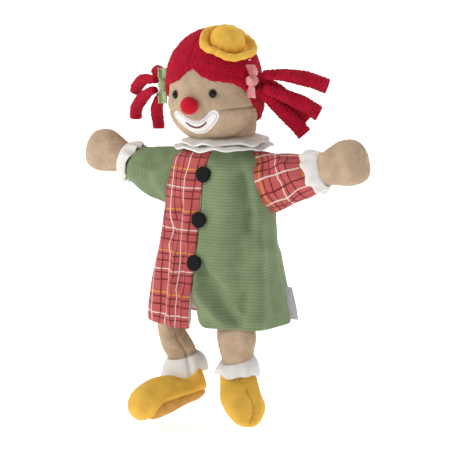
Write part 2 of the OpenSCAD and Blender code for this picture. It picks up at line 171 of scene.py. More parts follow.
def by_outline(sizes, rows):
    """Smooth columns of a table of sizes. Rows follow the outline's length, so a round end gets enough."""
    knots = np.array(sizes)
    along = np.concatenate([[0], np.cumsum(np.hypot(np.diff(knots[:, 0]), np.diff(knots[:, 1])))])
    along /= along[-1]
    share = np.linspace(0, 1, rows)
    return [curve_through(share, np.column_stack([along, column]), 1)[:, None] for column in knots.T]


def box_mm(node):
    """Low and high corners of a CAD node's box."""
    return [np.array(corner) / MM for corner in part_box(node)]


# ---------- meshes ----------

def mesh_piece(name, points, faces, uvs=None, material=None):
    """A smooth mesh from points and faces of 3 or 4 corners, with a UV for each corner."""
    mesh = bpy.data.meshes.new(name)
    mesh.from_pydata([tuple(p) for p in points], [], [tuple(int(i) for i in f) for f in faces])
    if uvs is not None:
        layer = mesh.uv_layers.new(name="cloth")
        layer.data.foreach_set("uv", np.asarray(uvs, np.float32).ravel())
    mesh.shade_smooth()
    piece = bpy.data.objects.new(name, mesh)
    bpy.context.scene.collection.objects.link(piece)
    if material:
        mesh.materials.append(material)
    return piece


def grid(name, points, uv=None, material=None, wrap=False, caps=False, outward=None, keep=None):
    """A sheet through rows of points; wrap closes each row, and caps closes the first and last rows.

    outward is a point that the faces turn away from, and keep says which faces stay."""
    rows, cols = points.shape[:2]
    r, c = np.meshgrid(np.arange(rows - 1), np.arange(cols if wrap else cols - 1), indexing="ij")
    r, c = r.ravel(), c.ravel()
    d = (c + 1) % cols
    faces = np.stack([r * cols + c, r * cols + d, (r + 1) * cols + d, (r + 1) * cols + c], axis=1)
    if uv is None:
        uv = np.zeros((rows, cols + 1, 2))
    corners = np.stack([uv[r, c], uv[r, c + 1], uv[r + 1, c + 1], uv[r + 1, c]], axis=1)
    if keep is not None:
        chosen = keep(points.reshape(-1, 3)[faces].mean(1))
        faces, corners = faces[chosen], corners[chosen]
    flat = points.reshape(-1, 3)
    turned = False
    if outward is not None:
        p = flat[faces]
        normal = np.cross(p[:, 2] - p[:, 0], p[:, 3] - p[:, 1])
        if (normal * (p.mean(1) - np.asarray(outward))).sum() < 0:
            faces, corners = faces[:, ::-1], corners[:, ::-1]
            turned = True
    faces, corners = list(faces), list(corners.reshape(-1, 2))
    if caps:
        for row, first in ((0, True), (rows - 1, False)):
            middle = len(flat)
            flat = np.vstack([flat, points[row].mean(0)])
            for i in range(cols):
                a, b = row * cols + i, row * cols + (i + 1) % cols
                forward = first != turned
                faces.append((b, a, middle) if forward else (a, b, middle))
                corners += [uv[row, i]] * 3
    return mesh_piece(name, flat, faces, corners, material)


def thicken(piece, thickness, offset=-1.0):
    """Gives a sheet its real thickness: inwards from its face, or on both sides where offset is 0."""
    solid = piece.modifiers.new("thickness", "SOLIDIFY")
    solid.thickness = thickness
    solid.offset = offset


def round_edges(piece, width=0.7 * MM):
    bevel = piece.modifiers.new("soft edge", "BEVEL")
    bevel.width = width
    bevel.segments = 3
    bevel.limit_method = "ANGLE"


def swell(piece, pinned, pressure=4.0, cap=1.2 * MM):
    """Swells a stuffed piece by cloth simulation, with its seams held, and keeps the result."""
    enlarge, frames = 10, 12  # The solver behaves better on a larger copy
    mesh = piece.data
    rest = np.array([v.co for v in mesh.vertices])
    middle = rest.mean(0)
    mesh.vertices.foreach_set("co", ((rest - middle) * enlarge).astype(np.float32).ravel())
    group = piece.vertex_groups.new(name="seams")
    group.add([int(i) for i in np.flatnonzero(pinned)], 1.0, "ADD")
    cloth = piece.modifiers.new("swell", "CLOTH")
    cloth.settings.vertex_group_mass = "seams"
    cloth.settings.use_pressure = True
    cloth.settings.uniform_pressure_force = pressure
    cloth.settings.effector_weights.gravity = 0
    cloth.settings.quality = 4
    cloth.settings.shrink_min = -0.03
    cloth.point_cache.frame_start = 1
    cloth.point_cache.frame_end = frames
    scene = bpy.context.scene
    for step in range(1, frames + 1):
        scene.frame_set(step)
    evaluated = piece.evaluated_get(bpy.context.evaluated_depsgraph_get())
    moved = np.array([v.co for v in evaluated.data.vertices]) / enlarge + middle
    piece.modifiers.remove(cloth)
    piece.vertex_groups.remove(group)
    scene.frame_set(1)
    shift = moved - rest
    length = np.linalg.norm(shift, axis=1, keepdims=True)
    shift *= np.minimum(1, cap / np.maximum(length, 1e-12))
    mesh.vertices.foreach_set("co", (rest + shift).astype(np.float32).ravel())
    mesh.update()


def finish_piece(piece, body, slot, *nodes, blend=None):
    """Parents a piece to its body's empty, or with a blend only bakes its place in, and hides the nodes that
    it stands for. The slot of its finish is not used.
    """
    if blend:
        other, start, end = blend
        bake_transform(piece)
        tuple(start)
        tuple(end)
    else:
        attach(piece, body)
    if nodes:
        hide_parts(*nodes)


# ---------- materials ----------

def linear(red, green, blue):
    """A screen colour of 0 to 255 as the shader's linear colour."""
    return tuple(((c / 255 + 0.055) / 1.055) ** 2.4 if c > 10 else c / 255 / 12.92
                 for c in (red, green, blue)) + (1.0,)


class Shader:
    """A Principled material that is built node by node."""

    def __init__(self, name, roughness=0.9, sheen=0.0, sheen_tint=(1, 1, 1, 1), specular=0.3):
        self.material = bpy.data.materials.new(name)
        self.material.use_nodes = True
        self.tree = self.material.node_tree
        self.surface = self.tree.nodes["Principled BSDF"]
        self.set(self.surface, Roughness=roughness)
        self.surface.inputs["Specular IOR Level"].default_value = specular
        self.surface.inputs["Sheen Weight"].default_value = sheen
        self.surface.inputs["Sheen Roughness"].default_value = 0.45
        self.surface.inputs["Sheen Tint"].default_value = sheen_tint
        self.height = None

    def set(self, node, **values):
        for name, value in values.items():
            node.inputs[name.replace("_", " ")].default_value = value

    def add(self, kind, **settings):
        node = self.tree.nodes.new("ShaderNode" + kind)
        for name, value in settings.items():
            setattr(node, name, value)
        return node

    def link(self, source, node, socket):
        self.tree.links.new(source, node.inputs[socket])

    def math(self, operation, a, b=None):
        node = self.add("Math", operation=operation)
        for i, value in enumerate((a, b)):
            if value is None:
                continue
            if isinstance(value, (int, float)):
                node.inputs[i].default_value = value
            else:
                self.link(value, node, i)
        return node.outputs[0]

    def place(self):
        return self.add("TexCoord").outputs["Object"]

    def cloth_uv(self):
        return self.add("UVMap", uv_map="cloth").outputs["UV"]

    def noise(self, size, detail=2.0, where=None, stretch=None):
        """Noise with bumps of about a size in metres."""
        node = self.add("TexNoise")
        self.set(node, Scale=1 / size, Detail=detail, Roughness=0.55)
        where = where or self.place()
        if stretch:
            mapping = self.add("Mapping")
            mapping.inputs["Scale"].default_value = stretch
            self.link(where, mapping, "Vector")
            where = mapping.outputs[0]
        self.link(where, node, "Vector")
        return node.outputs["Fac"]

    def ramp(self, value, *stops, constant=False):
        node = self.add("ValToRGB")
        ramp = node.color_ramp
        if constant:
            ramp.interpolation = "CONSTANT"
        while len(ramp.elements) < len(stops):
            ramp.elements.new(0.5)
        for element, (position, colour) in zip(ramp.elements, stops):
            element.position = position
            element.color = colour
        self.link(value, node, "Fac")
        return node

    def mix(self, share, a, b, blend="MIX"):
        node = self.add("Mix", data_type="RGBA", blend_type=blend)
        for socket, value in ((0, share), (6, a), (7, b)):
            if isinstance(value, (int, float, tuple)):
                node.inputs[socket].default_value = value
            else:
                self.link(value, node, socket)
        return node.outputs[2]

    def tones(self, value, *stops):
        return self.ramp(value, *stops).outputs["Color"]

    def greys(self, value, low, high, start=0.3, end=0.7):
        """Grey that runs from low to high as the value does from start to end."""
        return self.tones(value, (start, (low, low, low, 1)), (end, (high, high, high, 1)))

    def split(self, vector):
        node = self.add("SeparateXYZ")
        self.link(vector, node, 0)
        return node.outputs

    def cells(self, size, **settings):
        """Distance from the nearest of points that are scattered about a size apart, in metres."""
        node = self.add("TexVoronoi")
        self.set(node, Scale=1 / size, **settings)
        self.link(self.place(), node, "Vector")
        return node.outputs["Distance"]

    def ridges(self, value, spacing):
        return self.math("ABSOLUTE", self.math("SINE", self.math("MULTIPLY", value, math.pi / spacing)))

    def colour(self, value):
        self.link(value, self.surface, "Base Color")

    def colour_times(self, base, shade):
        self.colour(self.mix(1.0, base, shade, "MULTIPLY"))

    def bump(self, value, distance, strength=1.0):
        node = self.add("Bump")
        self.set(node, Distance=distance, Strength=strength)
        self.link(value, node, "Height")
        if self.height is not None:
            self.link(self.height, node, "Normal")
        self.height = node.outputs[0]
        self.link(self.height, self.surface, "Normal")


def scaled(colour, factor):
    return tuple(min(1.0, c * factor) for c in colour[:3]) + (1.0,)


def shades(shader, colour, value, low, high):
    """A colour that runs from darker to lighter with a value."""
    return shader.tones(value, (0.3, scaled(colour, low)), (0.7, scaled(colour, high)))


def pile_cloth(name, colour, fibre, patch, sheen, fleck=0.5, depth=0.00025):
    """Plush or velour: fine fibres, soft patches where the pile lies another way, and a sheen."""
    tint = tuple(min(1, c * 1.5 + 0.1) for c in colour[:3]) + (1,)
    shader = Shader(name, roughness=0.95, sheen=sheen, sheen_tint=tint)
    fibres = shader.noise(fibre, 3.0)
    base = shades(shader, colour, shader.noise(patch), 0.86, 1.12)
    flecked = shader.mix(1.0, base, shader.greys(fibres, 0.62, 1.12), "MULTIPLY")
    shader.colour(shader.mix(fleck, base, flecked))
    shader.bump(fibres, depth)
    return shader.material


def terry_cloth(name, colour):
    """Looped terry: small round loops, with painted shade that darkens the gaps between them."""
    shader = Shader(name, roughness=1.0, sheen=0.25, sheen_tint=linear(235, 60, 80))
    between = shader.cells(0.0011)
    # Painted shade: the colour runs from lighter loop tops to darker gaps between the loops
    tint = shader.tones(between, (0.15, scaled(colour, 1.12)), (0.95, scaled(colour, 0.6)))
    shader.colour_times(tint, shader.greys(shader.noise(0.009), 0.8, 1.1))
    shader.bump(shader.math("SUBTRACT", 1.0, between), 0.0006)
    shader.bump(shader.noise(0.0006, 3.0), 0.0002)
    return shader.material


def woven_height(shader, uv, thread):
    """Over-and-under relief of a plain weave."""
    waves = [shader.math("SINE", shader.math("MULTIPLY", axis, 2 * math.pi / thread))
             for axis in shader.split(uv)[:2]]
    return shader.math("MULTIPLY", waves[0], waves[1])


def plain_cloth(name, colour, thread=0.0007, sheen=0.1):
    """Plain or brushed weave in one dyed colour, with soft shading where it is handled."""
    shader = Shader(name, roughness=0.9, sheen=sheen)
    weave = woven_height(shader, shader.cloth_uv(), thread)
    base = shades(shader, colour, shader.noise(0.012), 0.93, 1.05)
    # Painted shade: the low parts of the weave's relief are coloured darker
    shader.colour_times(base, shader.greys(weave, 0.9, 1.02, 0.0, 0.5))
    shader.bump(weave, 0.00008)
    shader.bump(shader.noise(0.0003, 3.0), 0.00012)
    return shader.material


RED_CHECK = linear(201, 94, 92)
MAROON = linear(112, 28, 38)
CREAM = linear(240, 225, 215)
GOLD = linear(232, 160, 48)


def stripe_ramp(shader, value, stripes, width=1.1):
    """A repeating run of stripes, with the share of the cloth that they cover as alpha."""
    stops = [(0.0, (0, 0, 0, 0))]
    for start, colour in stripes:
        stops.append((start / CHECK_REPEAT, colour))
        stops.append(((start + width) / CHECK_REPEAT, (0, 0, 0, 0)))
    place = shader.math("FRACT", shader.math("DIVIDE", value, CHECK_REPEAT * MM))
    return shader.ramp(place, *stops, constant=True)


CHECK_REPEAT = 37.6
CHECK_START = 26.5  # height on the coat at which a repeat starts
# Stripes in one repeat: where each starts, and its colour
ACROSS = [(1.0, GOLD), (4.2, MAROON), (10.4, MAROON), (17.8, CREAM), (21.2, MAROON), (27.6, MAROON)]
UP = [(1.0, CREAM), (9.4, MAROON), (19.4, CREAM), (25.6, MAROON), (33.0, MAROON)]


def check_cloth(name):
    """Woven cotton check: gold, maroon and cream yarns on salmon red."""
    shader = Shader(name, roughness=0.85, sheen=0.08, specular=0.25)
    uv = shader.cloth_uv()
    wobble = shader.add("VectorMath", operation="MULTIPLY_ADD")
    ripple = shader.add("TexNoise")
    shader.set(ripple, Scale=1 / 0.022, Detail=1.0)
    shader.link(shader.place(), ripple, "Vector")
    shader.link(ripple.outputs["Color"], wobble, 0)
    wobble.inputs[1].default_value = (0.004, 0.003, 0)
    shader.link(uv, wobble, 2)
    sideways, upwards = shader.split(wobble.outputs[0])[:2]
    across = stripe_ramp(shader, upwards, ACROSS)
    up = stripe_ramp(shader, sideways, UP, 1.3)
    base = shades(shader, RED_CHECK, shader.noise(0.0012, 3.0), 0.9, 1.08)
    cloth = shader.mix(shader.math("MULTIPLY", across.outputs["Alpha"], 0.92), base,
                       across.outputs["Color"])
    cloth = shader.mix(shader.math("MULTIPLY", up.outputs["Alpha"], 0.88), cloth, up.outputs["Color"])
    weave = woven_height(shader, uv, 0.0009)
    # Painted shade: the low parts of the weave's relief are coloured darker
    shader.colour_times(cloth, shader.greys(weave, 0.82, 1.04, 0.0, 0.6))
    shader.bump(weave, 0.00009)
    shader.bump(shader.noise(0.0004, 3.0), 0.00008)
    return shader.material


RIB = 2.8


def corduroy_cloth(name, colour):
    """Ribbed velour: a painted highlight makes the top of each rib lighter, and painted shade makes the wale
    between the ribs dark.
    """
    shader = Shader(name, roughness=0.95, sheen=0.18, sheen_tint=linear(205, 222, 190))
    rib = shader.ridges(shader.split(shader.cloth_uv())[1], RIB * MM)
    streaks = shader.noise(0.0013, 4.0, stretch=(0.5, 0.5, 1.3))
    # Painted highlight on the rib tops and painted shade in the wales, broken up by random streaks in the
    # pile
    rib_light_and_streaks = shader.math("ADD", shader.math("MULTIPLY", rib, 0.75), shader.math("MULTIPLY", streaks, 0.6))
    tint = shader.tones(rib_light_and_streaks, (0.2, scaled(colour, 0.84)), (0.95, scaled(colour, 1.1)))
    patches = shader.tones(shader.noise(0.016), (0.3, (0.84, 0.86, 0.84, 1)), (0.72, (1.1, 1.1, 1.08, 1)))
    shader.colour_times(tint, patches)
    shader.bump(shader.noise(0.0007, 3.0), 0.00035)
    return shader.material


def dotted_cloth(name, colour, dot):
    """Ribbon with small printed dots."""
    shader = Shader(name, roughness=0.85, sheen=0.1)
    printed = shader.tones(shader.cells(0.0042, Randomness=0.35), (0.2, dot), (0.24, colour))
    shader.colour_times(printed, shader.greys(shader.noise(0.0009, 3.0), 0.86, 1.06))
    shader.bump(shader.noise(0.0004, 3.0), 0.00015)
    return shader.material


def gloss_bead(name):
    shader = Shader(name, roughness=0.12, specular=0.25)
    shader.colour(shades(shader, (0.006, 0.005, 0.006, 1), shader.noise(0.002), 0.7, 1.3))
    shader.bump(shader.noise(0.002), 0.00001)
    return shader.material


def patch_cloth(name):
    """White velour inside a border of satin stitches: the second UV runs in from the edge."""
    shader = Shader(name, roughness=0.85, sheen=0.15)
    along, inward = shader.split(shader.cloth_uv())[:2]
    # Painted shade: the groove inside the stitched border is coloured darker than the velour on either side
    # of it
    painted_groove_shade = linear(206, 198, 193)
    rings = shader.tones(shader.math("DIVIDE", inward, 0.004), (0.3, linear(248, 246, 244)), (0.42, painted_groove_shade),
                         (0.48, painted_groove_shade), (0.58, linear(234, 229, 226)))
    shader.colour_times(rings, shader.greys(shader.noise(0.0008, 3.0), 0.93, 1.03))
    stitches, edge = shader.ridges(along, 0.0006), shader.math("LESS_THAN", inward, 0.0014)
    shader.bump(shader.math("MULTIPLY", stitches, edge), 0.00015)
    shader.bump(shader.noise(0.0008, 3.0), 0.0001)
    return shader.material


def thread_cloth(name, colour):
    """Glossy embroidery thread, laid in fine strands."""
    shader = Shader(name, roughness=0.55, sheen=0.1, specular=0.5)
    strands = shader.noise(0.0005, 2.0, stretch=(1, 1, 0.2))
    shader.colour(shades(shader, colour, strands, 0.7, 1.25))
    shader.bump(strands, 0.00012)
    return shader.material


def floor_paint(name):
    shader = Shader(name, roughness=0.8)
    shader.colour(shades(shader, linear(252, 252, 252), shader.noise(0.4), 0.985, 1.0))
    shader.surface.inputs["Emission Color"].default_value = (1, 1, 1, 1)
    shader.surface.inputs["Emission Strength"].default_value = 0.55
    return shader.material


TAN = pile_cloth("tan plush", linear(188, 163, 136), 0.0011, 0.011, 0.18, fleck=0.5)
RED_TERRY = terry_cloth("red terry", linear(186, 3, 44))
CHECK = check_cloth("cotton check")
CORDUROY = corduroy_cloth("green corduroy", linear(119, 135, 100))
MUSTARD = pile_cloth("mustard velour", linear(230, 180, 74), 0.0007, 0.013, 0.3, fleck=0.35, depth=0.00018)
SOLE = pile_cloth("sole suede", linear(196, 146, 72), 0.0008, 0.010, 0.2)
WHITE = plain_cloth("white jersey", linear(242, 239, 234), sheen=0.1)
LINING = plain_cloth("lining cotton", linear(222, 206, 192))
PATCH_WHITE = patch_cloth("white velour")
FELT = pile_cloth("black felt", linear(17, 17, 19), 0.0009, 0.006, 0.05)
NOSE_RED = pile_cloth("red nose velour", linear(196, 14, 40), 0.0008, 0.008, 0.3, depth=0.0002)
BEAD = gloss_bead("black bead")
RIM_BROWN = thread_cloth("brown thread", linear(92, 74, 64))
BURGUNDY = thread_cloth("burgundy thread", linear(112, 14, 40))
CREAM_THREAD = thread_cloth("cream thread", linear(236, 230, 222))
PINK = pile_cloth("pink felt", linear(226, 150, 152), 0.0009, 0.006, 0.15)
DOTTED = dotted_cloth("dotted green cotton", linear(168, 184, 140), linear(84, 104, 66))
LABEL_GREY = plain_cloth("label satin", linear(206, 208, 210), thread=0.0005)


# ---------- places on the puppet ----------

HEAD_LOW, HEAD_HIGH = box_mm("head_stuffing")
HEAD_HALF = np.array([40.0, 40.0, 47.0])
HEAD_TILT = 2.5
HEAD_AT = np.array([*(HEAD_LOW + HEAD_HIGH)[:2] / 2, HEAD_HIGH[2] - HEAD_HALF[2] + 1.2])
head_axes = turn("y", -HEAD_TILT)
HEAD = Place(HEAD_AT, *head_axes.T)
FACE_SEAM_Y = 3.0
BODY_MIDDLE = (0, 0, 0.08)


def joint_at(name):
    return np.array(JOINTS[name]["pos_m"]) / MM


def arm_place(side):
    """Out along the arm, back, and across it upwards, from the shoulder."""
    shoulder, wrist = joint_at(SIDE_NAMES[side] + "_arm_raise"), joint_at(SIDE_NAMES[side] + "_wrist_bend")
    out = unit(wrist - shoulder)
    return Place(shoulder, out, Y, side * np.cross(out, Y))


def leg_place(side):
    """Sideways, back, and up the leg, from the hip."""
    hip, ankle = joint_at(SIDE_NAMES[side] + "_leg_swing"), joint_at(SIDE_NAMES[side] + "_ankle_bend")
    up = unit(hip - ankle)
    across = unit(np.cross(Y, up))
    return Place(hip, across, np.cross(up, across), up)


FOOT_TURNS = {RIGHT: (11.9, -25.5, -34.2), LEFT: (41.6, 17.7, 44.0)}  # pitch, roll, turn out
FOOT_SHIFTS = {RIGHT: (6.8, -6.9, -4.2), LEFT: (1.6, 1.2, 9.6)}  # sideways, back, up
FOOT_HEIGHTS = {RIGHT: 1.1, LEFT: 0.8}


def foot_place(side):
    """Sideways, back towards the heel, and up from the sole, from the ankle."""
    pitch, roll, out = FOOT_TURNS[side]
    axes = turn("z", out) @ turn("x", pitch) @ turn("y", roll)
    return Place(joint_at(SIDE_NAMES[side] + "_ankle_bend") + axes @ FOOT_SHIFTS[side], *axes.T)


# ---------- coat ----------

COAT_LOW, COAT_HIGH = box_mm("coat_front_left")
COAT_H, COAT_W, COAT_D = COAT_HIGH[2], COAT_HIGH[0], -COAT_LOW[1]
SIDE_SEAM = {RIGHT: 90.0, LEFT: 105.0}  # degrees round from the front
SEAM_DRIFT = [(0, -8.0), (30, -8.0), (56, -6.6), (94, -4.6), (134, -2.2), (157, 2.5)]  # height, sideways
# Part of the height, then of the half width, then of the half depth
COAT_OUTLINE = [
    (0.0, 1.0, 1.0), (0.14, 0.985, 0.935), (0.27, 0.955, 0.865), (0.4, 0.9, 0.795), (0.54, 0.84, 0.727),
    (0.65, 0.8, 0.69), (0.8, 0.745, 0.645), (0.89, 0.69, 0.59), (0.955, 0.6, 0.52), (0.985, 0.43, 0.44),
    (1.0, 0.27, 0.41)]
VENT_H, VENT_W = 30.0, 9.5
HEM_CORNER = 9.0
EDGE_ROLL = 2.2
COAT_CLOTH, LINING_CLOTH, FRILL_CLOTH, CUFF_CLOTH = 1.8, 0.6, 2.0, 1.9
SLEEVE_CLOTH, PLUSH, POCKET_CLOTH = 1.4, 1.0, 0.7
LINING_DEPTH = 3.1
# How much each front is drawn in, and the height where it is drawn in most
NARROWING = {RIGHT: (0.04, 75), LEFT: (0.12, 56)}
BACK_HEM_DROP = 9.0

# Folds of the front: start and end (mm from the front seam, height), width, and height of the fold
FRONT_FOLDS = {
    LEFT: [((36, 134), (46, 88), 5.5, -4.0), ((46, 118), (52, 72), 6.0, 2.6), ((4, 52), (38, 8), 6.5, -4.6),
           ((6, 30), (26, 4), 5.0, 2.4), ((18, 60), (26, 124), 8.0, 2.4), ((38, 50), (38, 100), 8.0, -2.6),
           ((58, 4), (54, 66), 8.0, 2.8), ((44, 2), (46, 30), 6.0, -2.4), ((30, 24), (48, 6), 5.0, 1.8)],
    RIGHT: [((16, 2), (12, 70), 5.0, -2.2), ((28, 0), (26, 60), 6.0, 2.2), ((12, 70), (18, 128), 6.0, 1.6),
            ((24, 104), (40, 76), 5.0, -2.2), ((6, 22), (22, 36), 4.0, 1.4),
            ((42, 10), (38, 60), 7.0, -1.8)]}
BACK_FOLDS = [((14, 4), (10, 90), 8.0, 2.6), ((34, 0), (30, 70), 9.0, -3.0), ((52, 8), (46, 60), 8.0, 2.4),
              ((20, 126), (44, 96), 6.0, -2.4)]


def along_fold(s, z, start, end):
    """How far each point is from a fold's line, fading out past its ends."""
    a, d = np.array(start, float), np.array(end, float) - np.array(start, float)
    t = ((s - a[0]) * d[0] + (z - a[1]) * d[1]) / (d @ d)
    near = np.clip(t, 0, 1)
    return np.hypot(s - a[0] - near * d[0], z - a[1] - near * d[1])


def coat_panel_points(side, front, rows, cols, depth=0.0, ribs=False):
    """Rows of points over a quarter of the coat from hem to neck, and their places on the cloth."""
    v = np.linspace(0, 1, rows)
    # Columns run from the centre seam to the side seam, evenly along the hem
    fine = np.linspace(0, math.radians(SIDE_SEAM[side] if front else 180 - SIDE_SEAM[side]), 721)
    arc = np.hypot(np.gradient(COAT_W * bulge(np.sin(fine), 2.6)),
                   np.gradient(COAT_D * bulge(np.cos(fine), 2.6)))
    arc = np.concatenate([[0], np.cumsum(arc[1:])])
    t = np.interp(np.linspace(0, arc[-1], cols), arc, fine)
    a = COAT_W * curve_through(v, COAT_OUTLINE, 1)[:, None]
    narrower, narrow_at = NARROWING[side]
    a = a * (1 - narrower * hump(v * COAT_H - narrow_at, 46))[:, None]
    b = COAT_D * curve_through(v, COAT_OUTLINE, 2)[:, None]
    power = (2.6 - 0.6 * smooth((v - 0.85) / 0.15))[:, None]
    x = (a - depth) * bulge(np.sin(t), power)
    y = (b - depth) * bulge(np.cos(t), power)
    z = v[:, None] * np.ones(cols) * COAT_H
    # Distance along the cloth from the centre seam, and from the hem
    widths = np.hypot(np.diff(x, axis=1), np.diff(y, axis=1))
    s = np.concatenate([np.zeros((rows, 1)), np.cumsum(widths, axis=1)], axis=1)
    heights = np.hypot(np.diff(v * COAT_H), np.hypot(np.diff(a[:, 0]), np.diff(b[:, 0])) * 0.6)
    up = np.concatenate([[0], np.cumsum(heights)])
    to_side = s[:, -1:] - s
    if front:
        opening = (VENT_W if side == LEFT else 0.0) * np.clip(1 - z / VENT_H, 0, 1) ** 0.8
        drift = np.interp(z, *np.array(SEAM_DRIFT).T)
        x = x + (opening + side * drift) * (1 - smooth(s / 36))
        round_r = HEM_CORNER if side == LEFT else 2.5
        corner = rounded(s, round_r)
        if side == RIGHT:
            # The checked front hangs lower, and is rounded up at its side seam
            corner = corner - 3.0 * smooth(to_side / 16) + 2.5 * (1 - smooth(to_side / 14))
        z = z + corner * np.clip(1 - z / 30, 0, 1)
    else:
        z = z - BACK_HEM_DROP * smooth(1.4 - s / 50) * np.clip(1 - z / 60, 0, 1)
    out = np.zeros_like(z)
    for start, end, width, height in (FRONT_FOLDS[side] if front else BACK_FOLDS):
        out += height * hump(along_fold(s, z, start, end), width)
    calm = smooth(z / 10) * smooth((COAT_H - z) / 26) * smooth(s / 8) * smooth(to_side / 24)
    calm = 0.35 * (1 - calm) * smooth(s / 5) * smooth(to_side / 6) * smooth((COAT_H - z) / 20) + calm
    out *= 1.5 * calm
    # The hem waves, and the cloth swells a little between its seams
    wave = np.sin(s / 9.0 + (1.3 if side == LEFT else 0.2) + (0 if front else 2.0))
    out += 1.1 * wave * (1 - smooth(z / 55)) * smooth(s / 10) * smooth(to_side / 10)
    out += 0.9 * smooth(s / 12) * smooth(to_side / 14) * smooth(z / 14)
    ripple = 0.9 * np.sin(s / 7.5 + z / 38 + side)
    out += ripple * smooth(s / 10) * smooth(to_side / 10) * smooth((130 - z) / 50)
    world = stack(side * x, (-1 if front else 1) * y, z)
    out += 0.45 * lumps(world, 17, seed=side + 3 * front) + 0.16 * lumps(world, 6, seed=side + 9 * front)
    # Seams draw the cloth in, and every edge rolls under
    if depth == 0:
        rise = z - z[:1]
        for distance in (s, to_side, rise):
            out -= rounded(distance, EDGE_ROLL)
        out -= 0.25 * hump(rise - 9.5, 0.9)
    if ribs:
        rib = np.abs(np.sin(math.pi * up / RIB))[:, None]
        out += 0.2 * (rib - 0.5) * smooth(z / 2)
    gradient_x = np.gradient(world[..., 0], axis=1)
    gradient_y = np.gradient(world[..., 1], axis=1)
    normal = stack(gradient_y, -gradient_x, np.zeros_like(z))
    normal /= np.maximum(np.linalg.norm(normal, axis=-1, keepdims=True), 1e-9)
    radial = stack(world[..., 0], world[..., 1], np.zeros_like(z))
    normal *= np.sign((normal * radial).sum(-1, keepdims=True))
    points = world + normal * out[..., None]
    # The check's gold yarns cross the front at set heights
    across = up if ribs else CHECK_START - up
    uv = stack(s * MM, across[:, None] * MM)
    return points, uv


def outside_armholes(centres):
    """Faces that the armholes don't take away."""
    keep = np.ones(len(centres), bool)
    for side in (RIGHT, LEFT):
        local = arm_place(side).inside(centres / MM)
        keep &= ~(((local[:, 1] / 13.5) ** 2 + (local[:, 2] / 22.5) ** 2 < 1) & (local[:, 0] > -16))
    return keep


def coat_panel(side, front):
    ribs = side == LEFT
    name = f"coat_{'front' if front else 'back'}_{SIDE_NAMES[side]}"
    points, uv = coat_panel_points(side, front, 250 if ribs else 130, 84, ribs=ribs)
    panel = grid(name + "_cloth", points * MM, uv, CORDUROY if ribs else CHECK,
                 outward=BODY_MIDDLE, keep=outside_armholes)
    thicken(panel, COAT_CLOTH * MM)
    finish_piece(panel, "coat", "green_corduroy" if ribs else "plaid_cotton", name)
    return panel


def coat_lining(side):
    """One half of the lining, from the turned-up hem to the neck."""
    name = f"coat_lining_{SIDE_NAMES[side]}"
    halves = [coat_panel_points(side, front, 60, 40, depth=LINING_DEPTH) for front in (True, False)]
    points = np.concatenate([halves[0][0], halves[1][0][:, ::-1]], axis=1)
    uv = np.concatenate([halves[0][1], halves[1][1][:, ::-1]], axis=1)
    lining = grid(name + "_cloth", points[1:] * MM, uv[1:], LINING, outward=BODY_MIDDLE,
                  keep=outside_armholes)
    thicken(lining, LINING_CLOTH * MM)
    finish_piece(lining, "coat", "cream_lining", name)


# ---------- collar, buttons, label ----------

COLLAR_SHIFT = (3.0, 1.0)


def frill(name, node, inner_r, outer_r, inner_z, outer_z, wave, phase):
    """A round waved frill of doubled cloth that lies on the shoulders."""
    spokes, steps = 220, 26
    t = full_circle(spokes)
    share = np.linspace(0, 1, steps)[:, None]
    edge = outer_r + 1.4 * np.sin(4 * t + phase) + 0.9 * np.sin(7 * t + 2 * phase)
    r = inner_r + (edge - inner_r) * share
    ripples = (np.sin(9 * t + phase) + 0.6 * np.sin(14 * t + 1.7 * phase) + 0.5 * np.sin(5 * t)) * wave
    z = inner_z + (outer_z - inner_z) * share ** 1.5 + ripples * share ** 1.6
    z = z + 1.2 * np.sin(math.pi * np.minimum(share * 1.1, 1))
    # It rises at the back left, where the head leans on it less
    z = z + (4.0 - share) * smooth(share * 4) * hump(wrapped(t - math.radians(50)), 0.9)
    points = stack(r * np.cos(t) + COLLAR_SHIFT[0] * share, r * np.sin(t) + COLLAR_SHIFT[1] * share, z) * MM
    around = np.concatenate([t, [2 * math.pi]])
    uv = stack(around * outer_r * MM, share * (outer_r - inner_r) * MM)
    piece = grid(name, points, uv, WHITE, wrap=True)
    thicken(piece, FRILL_CLOTH * MM, 0)
    round_edges(piece, 0.8 * MM)
    finish_piece(piece, "coat", "white_cotton", node)
    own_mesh(piece)


BUTTON_R, BUTTON_T = 7.2, 2.6
BUTTON_PLACES = [(134, 9.0), (94, 6.5), (56, 8.0)]


def buttons():
    """Three felt discs, cut by hand, each held by a dark stitch."""
    # Part of the radius, then of the thickness
    rings = [(0, 1), (0.5, 1.0), (0.86, 0.93), (0.97, 0.72), (1.0, 0.45), (0.99, 0.12), (0.9, 0)]
    t = full_circle(60)
    pieces = []
    for number, (height, lean) in enumerate(BUTTON_PLACES):
        b = COAT_D * float(curve_through(np.array([height / COAT_H]), COAT_OUTLINE, 2)[0])
        axes = turn("x", 90 - lean)
        place = Place((np.interp(height, *np.array(SEAM_DRIFT).T) + 0.8, -b - 0.8, height), *axes.T)
        rim = 1 + 0.02 * np.sin(3 * t + number) + 0.015 * np.sin(7 * t + 2 * number)
        sizes = [(max(share, 0.02) * BUTTON_R * rim, BUTTON_T * up) for share, up in rings]
        rows = np.array([stack(r * np.cos(t), r * np.sin(t), z) for r, z in sizes])
        dent = 0.5 * hump(np.hypot(rows[..., 0], rows[..., 1]), 1.6)
        rows[..., 2] -= dent * (rows[..., 2] > BUTTON_T * 0.9)
        rows += 0.1 * lumps(rows + 20 * number, 1.6)[..., None]
        pieces.append(grid(f"coat_button_{number + 1}", place.out(rows), None, FELT, wrap=True, caps=True,
                           outward=place.out(np.array([0, 0, 1.0]))))
    for piece in pieces:
        finish_piece(piece, "coat", "black_felt", "coat_buttons")


